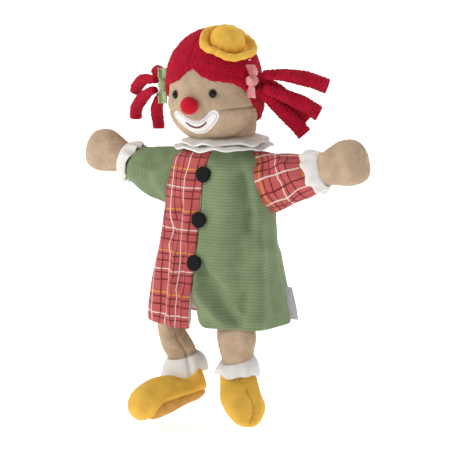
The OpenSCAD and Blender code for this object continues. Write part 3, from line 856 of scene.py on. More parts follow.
def side_label():
    """A blank satin tape, folded double and sewn into the side seam."""
    low, high = box_mm("side_label")
    seam = coat_panel_points(LEFT, True, 160, 60)[0][:, -1]
    tall = np.linspace(0, 1, 24)[:, None]
    loop = np.linspace(0, 1, 29)[None, :]
    z = low[2] - 1.5 + (high[2] - low[2]) * tall
    base = np.stack([np.interp(z, seam[:, 2], seam[:, i]) for i in (0, 1)], axis=-1)
    out, along = unit([0.93, 0.36]), unit([-0.36, 0.93])
    reach = 11.0 * np.sin(math.pi * loop) - 2.0
    thick = 0.5 * np.cos(math.pi * loop) + 1.1 * np.sin(2.4 * tall + 0.8) * np.clip(reach / 10, 0, 1)
    flat = base + reach[..., None] * out + thick[..., None] * along
    points = stack(flat[..., 0], flat[..., 1], z - 0.1 * reach) * MM
    piece = grid("side_label_tape", points, stack(loop * 0.023, tall * 0.029), LABEL_GREY)
    thicken(piece, 0.25 * MM, 0)
    finish_piece(piece, "coat", "grey_label", "side_label")


# ---------- head ----------

# Sideways and up from the head's middle
NOSE_AT = (-0.4, -14.4)
EYE_AT = (19.0, -6.2)
NOSE_R = 7.7
JAW_DEEPER = 1.045


def head_power(direction):
    """The head is an ellipsoid above, and squarer below where the jaw is full."""
    low = -direction[..., 2] / np.linalg.norm(direction, axis=-1)
    return 2 + 0.5 * smooth(low * 2.4)


def jaw_depth(z):
    """The head is a little deeper below its middle."""
    return np.where(z < 0, JAW_DEEPER, 1.0)


def head_surface(azimuth, elevation):
    """Point of the bare head, by angles in radians from its front and from its level."""
    direction = stack(np.sin(azimuth) * np.cos(elevation), -np.cos(azimuth) * np.cos(elevation),
                      np.sin(elevation))
    power = head_power(direction)
    deeper = stack(1, 1, jaw_depth(direction[..., 2]))
    direction = direction * deeper
    size = (np.abs(direction / HEAD_HALF / deeper) ** power[..., None]).sum(-1) ** (1 / power)
    return direction / size[..., None]


def head_normal(p):
    n = p / HEAD_HALF ** 2
    return n / np.linalg.norm(n, axis=-1, keepdims=True)


def on_face(x, z):
    """Point of the front of the head over a place given sideways and up."""
    level = 1 - (x / HEAD_HALF[0]) ** 2 - (z / HEAD_HALF[2]) ** 2
    forward = HEAD_HALF[1] * np.sqrt(np.maximum(level, 0.01))
    for _ in range(8):
        power = head_power(stack(x, -forward, z))
        left = 1 - np.abs(x / HEAD_HALF[0]) ** power - np.abs(z / HEAD_HALF[2] / jaw_depth(z)) ** power
        forward = HEAD_HALF[1] * np.maximum(left, 0.01) ** (1 / power)
    return stack(x, -forward, z)


def shaped_face(p):
    """The stuffed face: full cheeks, hollows for the eyes and nose, a dart in each cheek, and the seam."""
    n = head_normal(p)
    front = p[..., 1] < 0
    out = np.zeros(p.shape[:-1])
    for side in (RIGHT, LEFT):
        cheek = np.hypot(p[..., 0] - side * 23, p[..., 2] + 20)
        out += np.where(front, 1.3 * hump(cheek, 11), 0)
        eye = np.hypot(p[..., 0] - side * EYE_AT[0], p[..., 2] - EYE_AT[1])
        out -= np.where(front, 1.1 * hump(eye, 4.6), 0)
        dart = along_fold(side * p[..., 0], p[..., 2], (25.0, -20.3), (38.5, -19.6))
        out -= np.where(p[..., 1] < 6, 1.7 * hump(dart, 0.6) + 0.7 * hump(dart, 3.0), 0)
    nose = np.hypot(p[..., 0] - NOSE_AT[0], p[..., 2] - NOSE_AT[1])
    out -= np.where(front, 1.2 * hump(nose, 7.5), 0)
    out += np.where(front, 1.0 * hump(np.hypot(p[..., 0], p[..., 2] + 38), 10), 0)
    out -= 1.8 * hump(p[..., 1] - FACE_SEAM_Y, 1.0) + 0.9 * hump(p[..., 1] - FACE_SEAM_Y, 4.5)
    out += 0.3 * lumps(p, 13) + 0.1 * lumps(p, 4)
    # Puckers where the seam and the darts are drawn tight
    out += 0.22 * np.sin(p[..., 2] * 1.9) * hump(p[..., 1] - FACE_SEAM_Y, 5.5)
    return p + n * out[..., None]


def head_skin():
    # The seam lies a little behind the head's middle
    seam = math.pi / 2 + math.asin(FACE_SEAM_Y / HEAD_HALF[1])
    for name, nodes, low, high in (
            ("face_plush", ["face_panel", "head_stuffing"], -seam, seam),
            ("head_back_plush", ["head_back_panel"], seam, 2 * math.pi - seam)):
        azimuth = np.linspace(low, high, 300)[None, :]
        elevation = np.radians(np.linspace(-87, 46, 240))[:, None]
        p = shaped_face(head_surface(azimuth, elevation))
        piece = grid(name, HEAD.out(p), None, TAN, outward=HEAD_AT * MM)
        thicken(piece, PLUSH * MM)
        finish_piece(piece, "head", "tan_plush", *nodes)


# The hair's edge: degrees round from the front, and degrees above level
HAIRLINE = [(0, 22.5), (7, 19), (14, 13), (21, 9.2), (30, 6.4), (44, 4.4), (57, 1.6), (70, -6.3),
            (83, -19.5), (100, -29), (117, -38.5), (140, -42), (180, -43.5)]
HAIR_THICK = 3.4


def hair_cap():
    cols, rows = 380, 150
    azimuth = np.linspace(-math.pi, math.pi, cols, endpoint=False)[None, :]
    round_deg = np.degrees(np.abs(azimuth))
    edge = np.radians(np.interp(round_deg, *np.array(HAIRLINE, float).T))
    edge = edge + np.radians(0.5) * np.sin(azimuth * 23) + np.radians(0.35) * np.sin(azimuth * 41)
    share = np.linspace(0, 1, rows)[:, None] ** 1.15
    elevation = edge + (np.radians(89.5) - edge) * share
    p = head_surface(azimuth, elevation)
    from_edge = (elevation - edge) * 43
    roll = np.sqrt(np.maximum(1 - (1 - np.clip(from_edge / 3.2, 0, 1)) ** 2, 0))
    out = (HAIR_THICK + 1.6 * smooth((p[..., 2] - 4) / 22)) * roll - 0.6
    out = out + (0.55 * lumps(p, 9) + 0.5 * lumps(p, 2.6, 1) + 0.42 * lumps(p, 1.35, 2)) * roll
    # Panels of the cap meet along the parting and from ear to ear
    out = out - 0.9 * hump(p[..., 0], 1.1) * (p[..., 2] > 12) * roll
    out = out - 0.7 * hump(p[..., 1] - 9, 1.2) * (p[..., 2] > -8) * roll
    # The hair is drawn out to the ponytails
    for side in (RIGHT, LEFT):
        bow = bow_at(side)
        d = np.linalg.norm(p - bow, axis=-1)
        out = out + 2.2 * hump(d, 15)
        out = out + 0.5 * np.sin(np.arctan2(p[..., 2] - bow[2], p[..., 1] - bow[1]) * 11) * hump(d - 14, 7)
    points = p + head_normal(p) * out[..., None]
    piece = grid("hair_terry_cap", HEAD.out(points), None, RED_TERRY, wrap=True, caps=False,
                 outward=HEAD_AT * MM)
    thicken(piece, 1.6 * MM)
    finish_piece(piece, "head", "red_terry", "hair_cap")


def bow_at(side):
    """Middle of a bow's knot, from the head's middle."""
    low, high = box_mm(SIDE_NAMES[side] + "_bow_knot")
    return HEAD.inside((low + high) / 2)


def nose():
    p0 = on_face(np.array(NOSE_AT[0]), np.array(NOSE_AT[1]))
    n = head_normal(p0)
    centre = p0 + n * 4.4
    azimuth = full_circle(90)[None, :]
    elevation = np.radians(np.linspace(-52, 89, 60))[:, None]
    side = unit(np.cross(Z, n))
    up = np.cross(n, side)
    direction = (np.cos(elevation) * np.cos(azimuth))[..., None] * side \
        + (np.cos(elevation) * np.sin(azimuth))[..., None] * up \
        + np.sin(elevation)[..., None] * n
    radius = NOSE_R + 0.12 * lumps(direction * 8, 1.3) + 0.12 * lumps(direction * 8, 4)
    radius = radius - 1.2 * hump(np.degrees(elevation) + 52, 18)
    piece = grid("nose_ball", HEAD.out(centre + direction * radius[..., None]), None, NOSE_RED,
                 wrap=True, caps=True,
                 outward=HEAD.out(centre))
    finish_piece(piece, "head", "red_plush", "nose")


def eye(side):
    """A bead on a shank, drawn into the face, with a thread ring round it."""
    name = SIDE_NAMES[side]
    p0 = on_face(np.array(side * EYE_AT[0]), np.array(EYE_AT[1]))
    n = head_normal(p0)
    across = unit(np.cross(Z, n))
    up = np.cross(n, across)
    t = full_circle(64)[None, :]
    rise = np.radians(np.linspace(-20, 89, 36))[:, None]
    bead = p0 + (3.1 * np.cos(rise) * np.cos(t))[..., None] * across \
        + (3.6 * np.cos(rise) * np.sin(t))[..., None] * up \
        + (2.7 * np.sin(rise) - 0.3)[..., None] * n
    piece = grid(name + "_eye_bead", HEAD.out(bead), None, BEAD, wrap=True, caps=True,
                 outward=HEAD.out(p0 - n * 3))
    finish_piece(piece, "head", "eye_gloss", name + "_eye")
    ring = full_circle(12)[None, :]
    t = full_circle(96)[:, None]
    wide = 3.25 + 0.36 * np.cos(ring)
    tall = 3.75 + 0.36 * np.cos(ring)
    rim = p0 + (wide * np.cos(t))[..., None] * across + (tall * np.sin(t))[..., None] * up \
        + (0.42 * np.sin(ring) - 0.55 + 0.1 * np.sin(26 * t))[..., None] * n
    ring_piece = grid(name + "_eye_thread", np.concatenate([HEAD.out(rim), HEAD.out(rim)[:1]]), None,
                      RIM_BROWN, wrap=True)
    finish_piece(ring_piece, "head", "burgundy_thread")


# Half of the white mouth patch: share of its length, sideways, up, and half width
MOUTH_HALF = [(0.0, 0.0, -33.8, 5.5), (0.25, 5.2, -32.9, 5.5), (0.5, 10.2, -30.2, 5.1),
              (0.75, 14.9, -26.0, 4.6), (0.92, 17.8, -22.0, 4.1), (1.0, 18.8, -19.4, 3.8)]
MOUTH_SHIFT = 1.7


def face_swell(p):
    """How far the cheeks and the chin stand out under the mouth patch."""
    x, z = p[..., 0], p[..., 2]
    cheeks = sum(1.3 * hump(np.hypot(x - s * 23, z + 20), 11) for s in (RIGHT, LEFT))
    under_nose = 1.2 * hump(np.hypot(x - NOSE_AT[0], z - NOSE_AT[1]), 7.5)
    return cheeks + hump(np.hypot(x, z + 38), 10) - under_nose


def mouth_patch():
    along = np.linspace(-1, 1, 190)
    mirrored = [(-a, -x, z, half) for a, x, z, half in MOUTH_HALF[:0:-1]] + MOUTH_HALF
    x, z, half = (curve_through(along, mirrored, i) for i in (1, 2, 3))
    x = x + MOUTH_SHIFT
    dx, dz = np.gradient(x), np.gradient(z)
    size = np.hypot(dx, dz)
    ends = np.sqrt(np.maximum(1 - np.clip((np.abs(along) - 0.84) / 0.16, 0, 1) ** 2, 0.0))
    across = np.linspace(-1, 1, 60)[:, None]
    px = x - dz / size * half * ends * across
    pz = z + dx / size * half * ends * across
    p = on_face(px, pz)
    # How far in from the border, which is a raised band of satin stitches with a groove inside it
    inward = np.minimum((1 - np.abs(across)) * half * np.maximum(ends, 0.02), (1 - np.abs(along)) * 26)
    band = 1.6 * np.sqrt(np.clip(inward / 0.8, 0, 1))
    out = band - 0.9 * hump(inward - 1.8, 0.4) - 0.15 * smooth((inward - 1.5) / 2)
    out = out + 0.1 * lumps(p, 1.3) + 0.1 * np.sin(along * 260) * hump(inward - 0.9, 0.6) + face_swell(p)
    inward = np.concatenate([inward, inward[:, -1:]], axis=1)
    length = np.concatenate([along, along[-1:]]) * 26
    piece = grid("mouth_patch_velour", HEAD.out(p + head_normal(p) * out[..., None]),
                 stack(length, inward) * MM, PATCH_WHITE,
                 outward=HEAD_AT * MM)
    thicken(piece, POCKET_CLOTH * MM)
    finish_piece(piece, "head", "white_cotton", "mouth_patch")


def tube_along(path, radius, sides=12):
    """A round piece swept along points in metres, with a radius for each."""
    tangent = np.gradient(path, axis=0)
    tangent /= np.linalg.norm(tangent, axis=1, keepdims=True)
    side = unit(np.cross(tangent[0], Z if abs(tangent[0][2]) < 0.9 else Y))
    rings = []
    for centre, along, r in zip(path, tangent, radius):
        side = unit(side - along * (side @ along))
        up = np.cross(along, side)
        t = full_circle(sides)[:, None]
        rings.append(centre + np.atleast_1d(r)[:, None] * (side * np.cos(t) + up * np.sin(t)))
    return np.array(rings)


def smile():
    """A satin-stitched line, thicker in its middle, with round ends."""
    t = np.linspace(-1, 1, 70)
    x = 10.0 * t + MOUTH_SHIFT - 0.2
    z = -33.4 + 4.6 * np.abs(t) ** 2.1
    p = on_face(x, z)
    out = 1.75 + face_swell(p)
    path = HEAD.out(p + head_normal(p) * out[:, None])
    radius = 0.78 * MM * np.sqrt(np.maximum(1 - t ** 8, 0.02)) * (1 + 0.07 * np.sin(t * 90))
    piece = grid("mouth_smile_thread", tube_along(path, radius), None, BURGUNDY, wrap=True, caps=True)
    finish_piece(piece, "head", "burgundy_thread", "mouth_smile_stitching")


def neck():
    """The plush neck: it hangs from the head's back and is gathered into the collar."""
    cols, rows = 120, 44
    t = full_circle(cols)[None, :]
    knots = [(0.0, 16.5, 150.5), (0.18, 23.5, 157.0), (0.4, 29.5, 163.0), (0.62, 32.5, 170.0),
             (0.82, 34.0, 177.0), (1.0, 34.0, 186.0)]
    share = np.linspace(0, 1, rows)
    r, z = curve_through(share, knots, 1)[:, None], curve_through(share, knots, 2)[:, None]
    gathers = 0.9 * np.sin(13 * t) + 0.5 * np.sin(21 * t + 1)
    r = r + gathers * hump((z - 158), 8) - 0.8 * hump(wrapped(t - math.pi / 2), 0.05)
    shift = (z - 150) * 0.12
    front = np.clip(-np.sin(t), 0, 1)
    r = r * (1 - 0.5 * front * smooth((z - 152) / 16))
    p = stack(r * np.cos(t) - shift * 0.6, r * np.sin(t) * 0.95 - shift * 0.5 + 1.0, z)
    p = p + 0.35 * lumps(p, 8)[..., None] * stack(np.cos(t), np.sin(t), 0)
    piece = grid("neck_plush", p * MM, None, TAN, wrap=True, outward=(0, 0, 0.165))
    thicken(piece, PLUSH * MM)
    finish_piece(piece, "neck", "tan_plush", "neck_tube", blend=("head", (0, 0, 0.157), (0, 0, 0.176)))


# ---------- hat ----------

HAT_AT = (21.5, -24.4, 246.6)
hat_axes = turn("z", -37.7) @ turn("y", 32.5)
HAT = Place(HAT_AT, *hat_axes.T)


def hat():
    t = full_circle(240)[None, :]
    # Half of the brim's section: out from the middle along the top, round the roll and back below
    section = [(0.0, 9.0, 1.4), (0.16, 14.6, 1.4), (0.28, 17.6, 1.6), (0.37, 19.4, 3.8),
               (0.47, 21.4, 5.6), (0.58, 24.2, 5.6), (0.68, 25.4, 3.0), (0.82, 23.2, -0.6),
               (1.0, 9.0, -1.4)]
    share = np.linspace(0, 1, 60)[:, None]
    r, z = curve_through(share, section, 1), curve_through(share, section, 2)
    rim = smooth((r - 14) / 10)
    pinch = hump(wrapped(t - math.radians(-52)), 0.1)
    r = r + rim * (0.8 * np.sin(3 * t + 0.6) + 0.6 * np.sin(5 * t + 2) - 2.6 * pinch)
    wave = 1.1 * np.sin(2 * t + 1.0) + 0.8 * np.sin(5 * t) - 1.2 * pinch
    z = z + rim * wave + 0.3 * rim * np.sin(17 * t)
    p = stack(r * np.cos(t), r * np.sin(t), z)
    p = p + 0.3 * lumps(p, 5)[..., None] * unit([0, 0.3, 1]) + 0.08 * lumps(p, 1.4)[..., None]
    brim = grid("hat_brim_velour", HAT.out(p), None, MUSTARD, wrap=True, caps=True,
                outward=HAT.out(np.array([0, 0, 2.0])))
    finish_piece(brim, "head", "mustard_velour", "hat_brim")
    up = np.radians(np.linspace(-30, 89, 70))[:, None]
    gather = 0.35 * np.sin(15 * t) * hump(np.degrees(up) + 18, 22)
    r = 15.4 * np.cos(up) ** 0.85 + gather
    z = 4.0 + 11.6 * np.sin(up)
    r = r * (1 + 0.03 * np.cos(t - 1.0) + 0.02 * np.cos(2 * t))
    p = stack(r * np.cos(t), r * np.sin(t), z)
    p = p + 0.45 * lumps(p, 9, 4)[..., None] * p / 16 + 0.07 * lumps(p, 1.4)[..., None]
    p = p + stack(-0.8, -1.8, 0)
    crown = grid("hat_crown_velour", HAT.out(p), None, MUSTARD, wrap=True, caps=True,
                 outward=HAT.out(np.array([0, 0, 6.0])))
    swell(crown, np.array([HAT.inside(np.array(v.co) / MM)[2] < 1.5 for v in crown.data.vertices]))
    finish_piece(crown, "head", "mustard_velour", "hat_crown", "hat_stuffing")
    # One short stitch holds the brim to the hair
    angle = np.radians(np.linspace(27, 33, 5))
    path = HAT.out(stack(24.8 * np.cos(angle), 24.8 * np.sin(angle), -0.4 * np.ones(5)))
    tack = grid("hat_tack_stitch", tube_along(path, np.full(5, 0.45 * MM)), None, CREAM_THREAD,
                wrap=True, caps=True)
    finish_piece(tack, "head", "white_cotton")


# ---------- ponytails ----------

STRAND_ENDS = {RIGHT: [(-89, 38, 219), (-107, 26, 203), (-105, 21, 178), (-85, 29, 168)],
               LEFT: [(83, 45, 210), (77, 42, 186), (65, 42, 180), (66, 34, 168)]}
# Place of each strand in its bow: outward or inward, upper or lower
STRAND_PLACES = {RIGHT: [(-1, 1), (1, 1), (1, -1), (-1, -1)], LEFT: [(1, 1), (1, -1), (-1, 1), (-1, -1)]}
STRAND_D = {RIGHT: 11.0, LEFT: 13.2}
STRAND_START, STRAND_SPREAD = 2.0, {RIGHT: 4.4, LEFT: 6.0}


def strand(side, number):
    """A roll of terry: thin where the bow ties it, with a flat cut end."""
    bow = HEAD.out(bow_at(side)) / MM
    end = np.array(STRAND_ENDS[side][number], float)
    outer, upper = STRAND_PLACES[side][number]
    out = unit([end[0] - bow[0], end[1] - bow[1], 0])
    aside = outer * np.array([side * 0.9, -0.45, 0]) + upper * Z
    a = bow + STRAND_START * out + STRAND_SPREAD[side] * aside
    arch = 1.0 if side == RIGHT else 0.75 if number == 0 else 0.45
    b = (a + end) / 2 + np.array([side * 6, -4, 9]) * arch
    t = np.linspace(0, 1, 84)[:, None]
    path = (1 - t) ** 2 * a + 2 * t * (1 - t) * b + t ** 2 * end
    t = t[:, 0]
    path = path + np.outer(0.7 * np.sin(t * 9 + number * 2), unit(np.cross(out, Z)))
    tip = unit(path[-1] - path[-3])
    body = np.interp(t, [0, 0.1, 0.35, 0.6, 1], [0.6, 0.68, 0.86, 1.0, 1.0])
    rings = tube_along(path, STRAND_D[side] / 2 * body, sides=52)
    centre = path[:, None, :]
    direction = rings - centre
    length = np.linalg.norm(direction, axis=-1, keepdims=True)
    direction = direction / length
    around = full_circle(52)[None, :]
    roll_edge = hump(wrapped(around - 2.0 - 1.2 * t[:, None] - number), 0.16)
    bumps = 0.55 * lumps(rings, 1.35, number) + 0.5 * lumps(rings, 2.8, number + 4)
    bumps = bumps + 0.3 * lumps(rings, 8, number)
    # Ridges where the roll is drawn round
    bumps = bumps + 0.2 * np.sin(t[:, None] * 95 + 2 * around)
    rings = rings + direction * (bumps - 0.8 * roll_edge)[..., None]
    # The end is cut flat, on a slant, with the cloth's spiral edge a little sunk in it
    steepest = 0.4 if side == RIGHT and number == 0 else 1.8
    slant = np.clip((tip @ CUT_ACROSS) / (1 - (tip @ CUT_ACROSS) ** 2), -steepest, steepest)
    spread = (rings - centre) @ CUT_ACROSS
    rings = rings + (slant * spread * smooth((t[:, None] - 0.72) / 0.28))[..., None] * tip
    cut = [rings[-1] + (path[-1] - rings[-1]) * share + (path[-1] - path[-2]) * rise
           for share, rise in ((0.03, 0.1), (0.1, 0.3), (0.3, 0.2), (0.6, -0.6), (0.85, -0.1))]
    rings = np.concatenate([rings, cut])
    name = f"{SIDE_NAMES[side]}_strand_{number + 1}"
    piece = grid(name + "_terry", rings * MM, None, RED_TERRY, wrap=True, caps=True)
    finish_piece(piece, SIDE_NAMES[side] + "_ponytail", "red_terry", name)


CUT_ACROSS = unit([-0.5, 0.86, -0.14])
BOW_SHIFTS = {RIGHT: (1.5, 0.0, 0.0), LEFT: (-3.6, -4.2, 0.5)}
BOW_WIDTHS = {RIGHT: (4.2, 4.0), LEFT: (8.4, 6.0)}  # half width above and below
BOW_ENDS = {RIGHT: (-16.8, 15.6), LEFT: (-14.4, 14.0)}


def bow(side):
    """A short pinked ribbon, tied round the ponytail so that its ends stand up and down."""
    name = SIDE_NAMES[side]
    centre = HEAD.out(bow_at(side)) / MM
    material, slot = (PINK, "pink_ribbon") if side == LEFT else (DOTTED, "green_dotted_ribbon")
    axes = turn("z", 72 if side == LEFT else 118)
    centre = centre + BOW_SHIFTS[side]
    place = Place(centre, *axes.T)
    # Local X runs out along the ponytail, Y across it, and Z up
    tall = np.linspace(*BOW_ENDS[side], 150)[:, None]
    across = np.linspace(-1, 1, 40)[None, :]
    above, below = BOW_WIDTHS[side]
    half = 2.6 + smooth((np.abs(tall) - 2) / 6) * np.where(tall > 0, above - 2.6, below - 2.6)
    if side == LEFT:
        # The upper half is a loop, so its end is round
        half = half * np.sqrt(np.maximum(1 - np.clip((tall - 8) / 8.2, 0, 1) ** 2, 0.12))
    pinked = 0.8 * np.abs(((tall / 2.4) % 1) * 2 - 1) * (np.abs(tall) > 4)
    y = across * (half - pinked * (np.abs(across) > 0.85))
    ends = 1.0 * np.abs(((y / 2.4) % 1) * 2 - 1)
    z = tall - np.sign(tall) * ends * smooth((np.abs(tall) - 14) / 1.5)
    fold = 1.3 * np.sin(across * 3.0 + 0.6) * smooth((np.abs(tall) - 2) / 8)
    fold = fold + 0.9 * np.sin(across * 9) * hump(tall, 6)
    x = fold + 0.9 * np.sin(tall * 0.28 + 0.7)
    p = stack(x, y, z) + 0.25 * lumps(stack(x, y, z), 3.0)[..., None]
    loops = grid(name + "_bow_ribbon", place.out(p), None, material)
    thicken(loops, 1.2 * MM, 0)
    finish_piece(loops, name + "_ponytail", slot, name + "_bow_loops")
    t = full_circle(80)[None, :]
    share = np.linspace(-1, 1, 24)[:, None]
    r = 3.6 + 0.9 * np.sqrt(np.maximum(1 - share ** 2, 0)) + 0.3 * np.sin(share * 7 + 2 * np.sin(t))
    knot = stack(share * 4.4, r * np.cos(t) * 0.95, r * np.sin(t))
    knot = knot + 0.3 * lumps(knot, 2.6)[..., None] * knot / 5
    band = grid(name + "_bow_band", place.out(knot), None, material, wrap=True, caps=True,
                outward=centre * MM)
    finish_piece(band, name + "_ponytail", slot, name + "_bow_knot")


# ---------- arms ----------

def coat_side_x(y, z):
    """How far out the side of the coat is, at a depth and a height."""
    share = np.clip(z / COAT_H, 0, 1)
    a, b = COAT_W * curve_through(share, COAT_OUTLINE, 1), COAT_D * curve_through(share, COAT_OUTLINE, 2)
    power = 2.6 - 0.6 * smooth((share - 0.85) / 0.15)
    return a * np.maximum(1 - np.abs(y / b) ** power, 0) ** (1 / power)


SLEEVE_L = 46
SLEEVE_RIB_START = 6.5


def sleeve(side):
    """A short sleeve from the armhole to the cuff, with the creases of a raised arm."""
    name = SIDE_NAMES[side]
    place = arm_place(side)
    rows, cols = 110, 150
    share = np.linspace(0, 1, rows)[:, None]
    t = full_circle(cols)[None, :]
    root_y, level = 17.5 * np.sin(t), place.origin[2] + 27.2 * np.cos(t)
    # The first row lies on the coat's side, along the armhole
    root = place.inside(stack(side * (np.maximum(coat_side_x(root_y, level), 33) - 1.2), root_y, level))
    # The cuff leans: its top is nearer the shoulder
    lean = 4.5 if side == LEFT else 3.0
    end = stack(46.0 - lean * np.cos(t), 15.2 * np.sin(t), 17.0 * np.cos(t) - 0.8)
    p = root * (1 - share[..., None]) + end * share[..., None]
    slack = np.sin(math.pi * share)
    p[..., 1] += 1.6 * slack * np.sin(t)
    p[..., 2] += slack * (0.6 * np.cos(t) - 0.4)
    direction = away_from(p, stack(p[..., 0], 0, 0))
    front = np.clip(-np.sin(t), 0, 1)
    # Creases fan out from the armpit, and the top is pinched at the shoulder
    at = share * SLEEVE_L
    out = -2.6 * hump(along_fold(at, np.degrees(t), (1, 200), (22, 262)), 9)
    out += 1.8 * hump(along_fold(at, np.degrees(t), (4, 225), (30, 300)), 11)
    out -= 1.8 * hump(along_fold(at, np.degrees(t), (2, 318), (26, 288)), 9)
    out += 1.3 * np.sin(share * 9 + 3 * np.cos(t)) * front * slack
    out += 0.9 * np.sin(share * 7 + 4 * np.sin(t) + side) * slack
    out += 0.5 * lumps(p + 40 * side, 9) - 1.0 * hump((1 - share) * SLEEVE_L, 2.0)
    out -= 1.4 * hump(at, 1.8)
    if side == RIGHT:
        out = out + 0.26 * (np.abs(np.sin(math.pi * (at - SLEEVE_RIB_START) / RIB)) - 0.5)
    p = p + direction * out[..., None]
    around = np.concatenate([t[0], [2 * math.pi]])
    lengthwise = (at - SLEEVE_RIB_START) * MM
    girth = around * 19.5 * MM - 0.17 * lengthwise
    uv = stack(girth, lengthwise)
    node = name + "_sleeve"
    piece = grid(node + "_cloth", place.out(p), uv, CORDUROY if side == RIGHT else CHECK, wrap=True,
                 outward=place.out(np.array([25.0, 0, 0])))
    thicken(piece, SLEEVE_CLOTH * MM)
    start, stop = place.out(np.array([[-2.0, 0, 0], [17.0, 0, 0]]))
    finish_piece(piece, "coat", "green_corduroy" if side == RIGHT else "plaid_cotton", node,
                 blend=(name + "_arm", start, stop))


def ruffle(spine, ripple, waves, reach, fold_at=None):
    """A cuff of doubled jersey. Its spine gives share, place along, half height and half depth."""
    rows, cols = 46, 170
    share = np.linspace(0, 1, rows)
    at, tall, deep = (curve_through(share, spine, i)[:, None] for i in (1, 2, 3))
    share = share[:, None]
    t = full_circle(cols)[None, :]
    free = smooth((share - 0.15) / 0.85)
    wavy = np.sin(waves * t) + 0.6 * np.sin((waves + 3) * t + 1.4) + 0.45 * np.sin(3 * t + 0.5)
    at = at + reach * 0.12 * free * (np.sin(4 * t + 0.8) + 0.6 * np.sin(7 * t))
    grow = ripple * wavy * free + 0.8 * np.sin(math.pi * share)
    if fold_at is not None:
        grow = grow - 3.0 * hump(wrapped(t - fold_at), 0.16)
    return at, (tall + grow) * np.cos(t), (deep + grow) * np.sin(t), t, share


def cuff_uv(rows, cols, girth, length):
    return stack(np.linspace(0, girth, cols + 1)[None, :], np.linspace(0, length, rows)[:, None])


def wrist_frill(side):
    name = SIDE_NAMES[side]
    place = arm_place(side)
    spine = [(0.0, 58.5, 14.4, 12.2), (0.2, 57.5, 15.6, 13.4), (0.45, 54.0, 17.2, 14.8),
             (0.7, 50.0, 18.4, 16.0), (0.9, 46.6, 19.0, 16.6), (1.0, 45.0, 18.8, 16.4)]
    at, z, y, t, share = ruffle(spine, 1.3, 9, 9)
    p = stack(at - (4.0 if side == LEFT else 2.6) * np.cos(t) * smooth(share), y, z - 0.8)
    piece = grid(name + "_wrist_ruffle", place.out(p), cuff_uv(*p.shape[:2], 0.12, 0.017), WHITE, wrap=True,
                 outward=place.out(np.array([52.0, 0, 0])))
    thicken(piece, CUFF_CLOTH * MM)
    round_edges(piece)
    start, stop = place.out(np.array([[45.0, 0, 0], [60.0, 0, 0]]))
    finish_piece(piece, name + "_arm", "white_cotton", name + "_wrist_frill",
                 blend=(name + "_hand", start, stop))


# Distance along the arm, half height, half depth, and how far the middle lies above the arm's line
HAND_SIZES = [(46.6, 5.0, 4.5, 0.0), (49.0, 9.5, 8.0, 0.0), (53.0, 12.0, 10.5, 0.0),
              (58.0, 13.8, 11.8, 0.0), (64.0, 15.6, 12.8, 0.4), (72.0, 18.2, 13.8, 0.8),
              (80.0, 20.0, 14.2, 0.8), (87.0, 19.6, 13.6, 0.4), (93.0, 16.6, 11.6, -0.2),
              (96.8, 11.6, 7.8, -0.6), (98.6, 5.0, 3.2, -0.8)]


def hand(side):
    """A stuffed mitten, its seam round the edge from wrist to wrist."""
    name = SIDE_NAMES[side]
    place = arm_place(side)
    x, tall, deep, lift = by_outline(HAND_SIZES, 76)
    t = full_circle(96)[None, :]
    p = stack(x, deep * bulge(np.sin(t), 2.25), tall * bulge(np.cos(t), 2.25) + lift)
    direction = away_from(p, stack(np.minimum(x, 88), 0, 0))
    seam = p[..., 1]
    out = 0.35 * lumps(p + 30 * side, 10) + 0.12 * lumps(p, 4)
    out -= 0.9 * hump(seam, 0.9) + 0.45 * hump(seam, 3.2)
    out += 0.3 * np.sin(x * 1.7) * hump(seam, 3.5)
    piece = grid(name + "_hand_plush", place.out(p + direction * out[..., None]), None, TAN, wrap=True,
                 caps=True,
                 outward=place.out(np.array([76.0, 0, 0])))
    held = np.array([abs(local[1]) < 1.2 or local[0] < 56
                     for local in (place.inside(np.array(v.co) / MM) for v in piece.data.vertices)])
    swell(piece, held)
    finish_piece(piece, name + "_hand", "tan_plush", name + "_hand_skin", name + "_hand_stuffing")


def arm_pocket(side):
    """The cloth finger pocket inside a sleeve, gathered where it meets the coat."""
    name = SIDE_NAMES[side]
    place = arm_place(side)
    x = np.linspace(2.5, 46, 40)[:, None]
    t = full_circle(72)[None, :]
    r = 11.6 + 2.2 * hump(x - 2.5, 4) + 0.25 * np.sin(9 * t + x * 0.15) + 0.2 * np.sin(x * 0.9)
    r = r - 0.5 * hump(wrapped(t - 1.2), 0.08)
    p = stack(x, r * np.sin(t), r * np.cos(t))
    piece = grid(name + "_arm_pocket_cloth", place.out(p), cuff_uv(40, 72, 0.073, 0.043), LINING, wrap=True,
                 outward=place.out(np.array([24.0, 0, 0])))
    thicken(piece, POCKET_CLOTH * MM)
    finish_piece(piece, name + "_arm", "cream_lining", name + "_arm_pocket")


def head_pocket():
    """The closed finger pocket in the head."""
    low, high = box_mm("head_finger_pocket")
    share = np.linspace(0, 1, 56)[:, None]
    t = full_circle(72)[None, :]
    end = np.sqrt(np.maximum(1 - np.clip((share - 0.8) / 0.2, 0, 1) ** 2, 0.002))
    r = 11.7 * end + 1.4 * hump(share * 50, 3) + 0.25 * np.sin(11 * t) * end + 0.15 * np.sin(share * 60)
    p = stack(r * np.cos(t), r * np.sin(t), low[2] - 1 + (high[2] - low[2] + 0.5) * share)
    piece = grid("head_pocket_cloth", p * MM, cuff_uv(56, 72, 0.074, 0.05), LINING, wrap=True,
                 outward=(0, 0, 0.185))
    thicken(piece, POCKET_CLOTH * MM)
    finish_piece(piece, "head", "cream_lining", "head_finger_pocket")


# ---------- legs and feet ----------

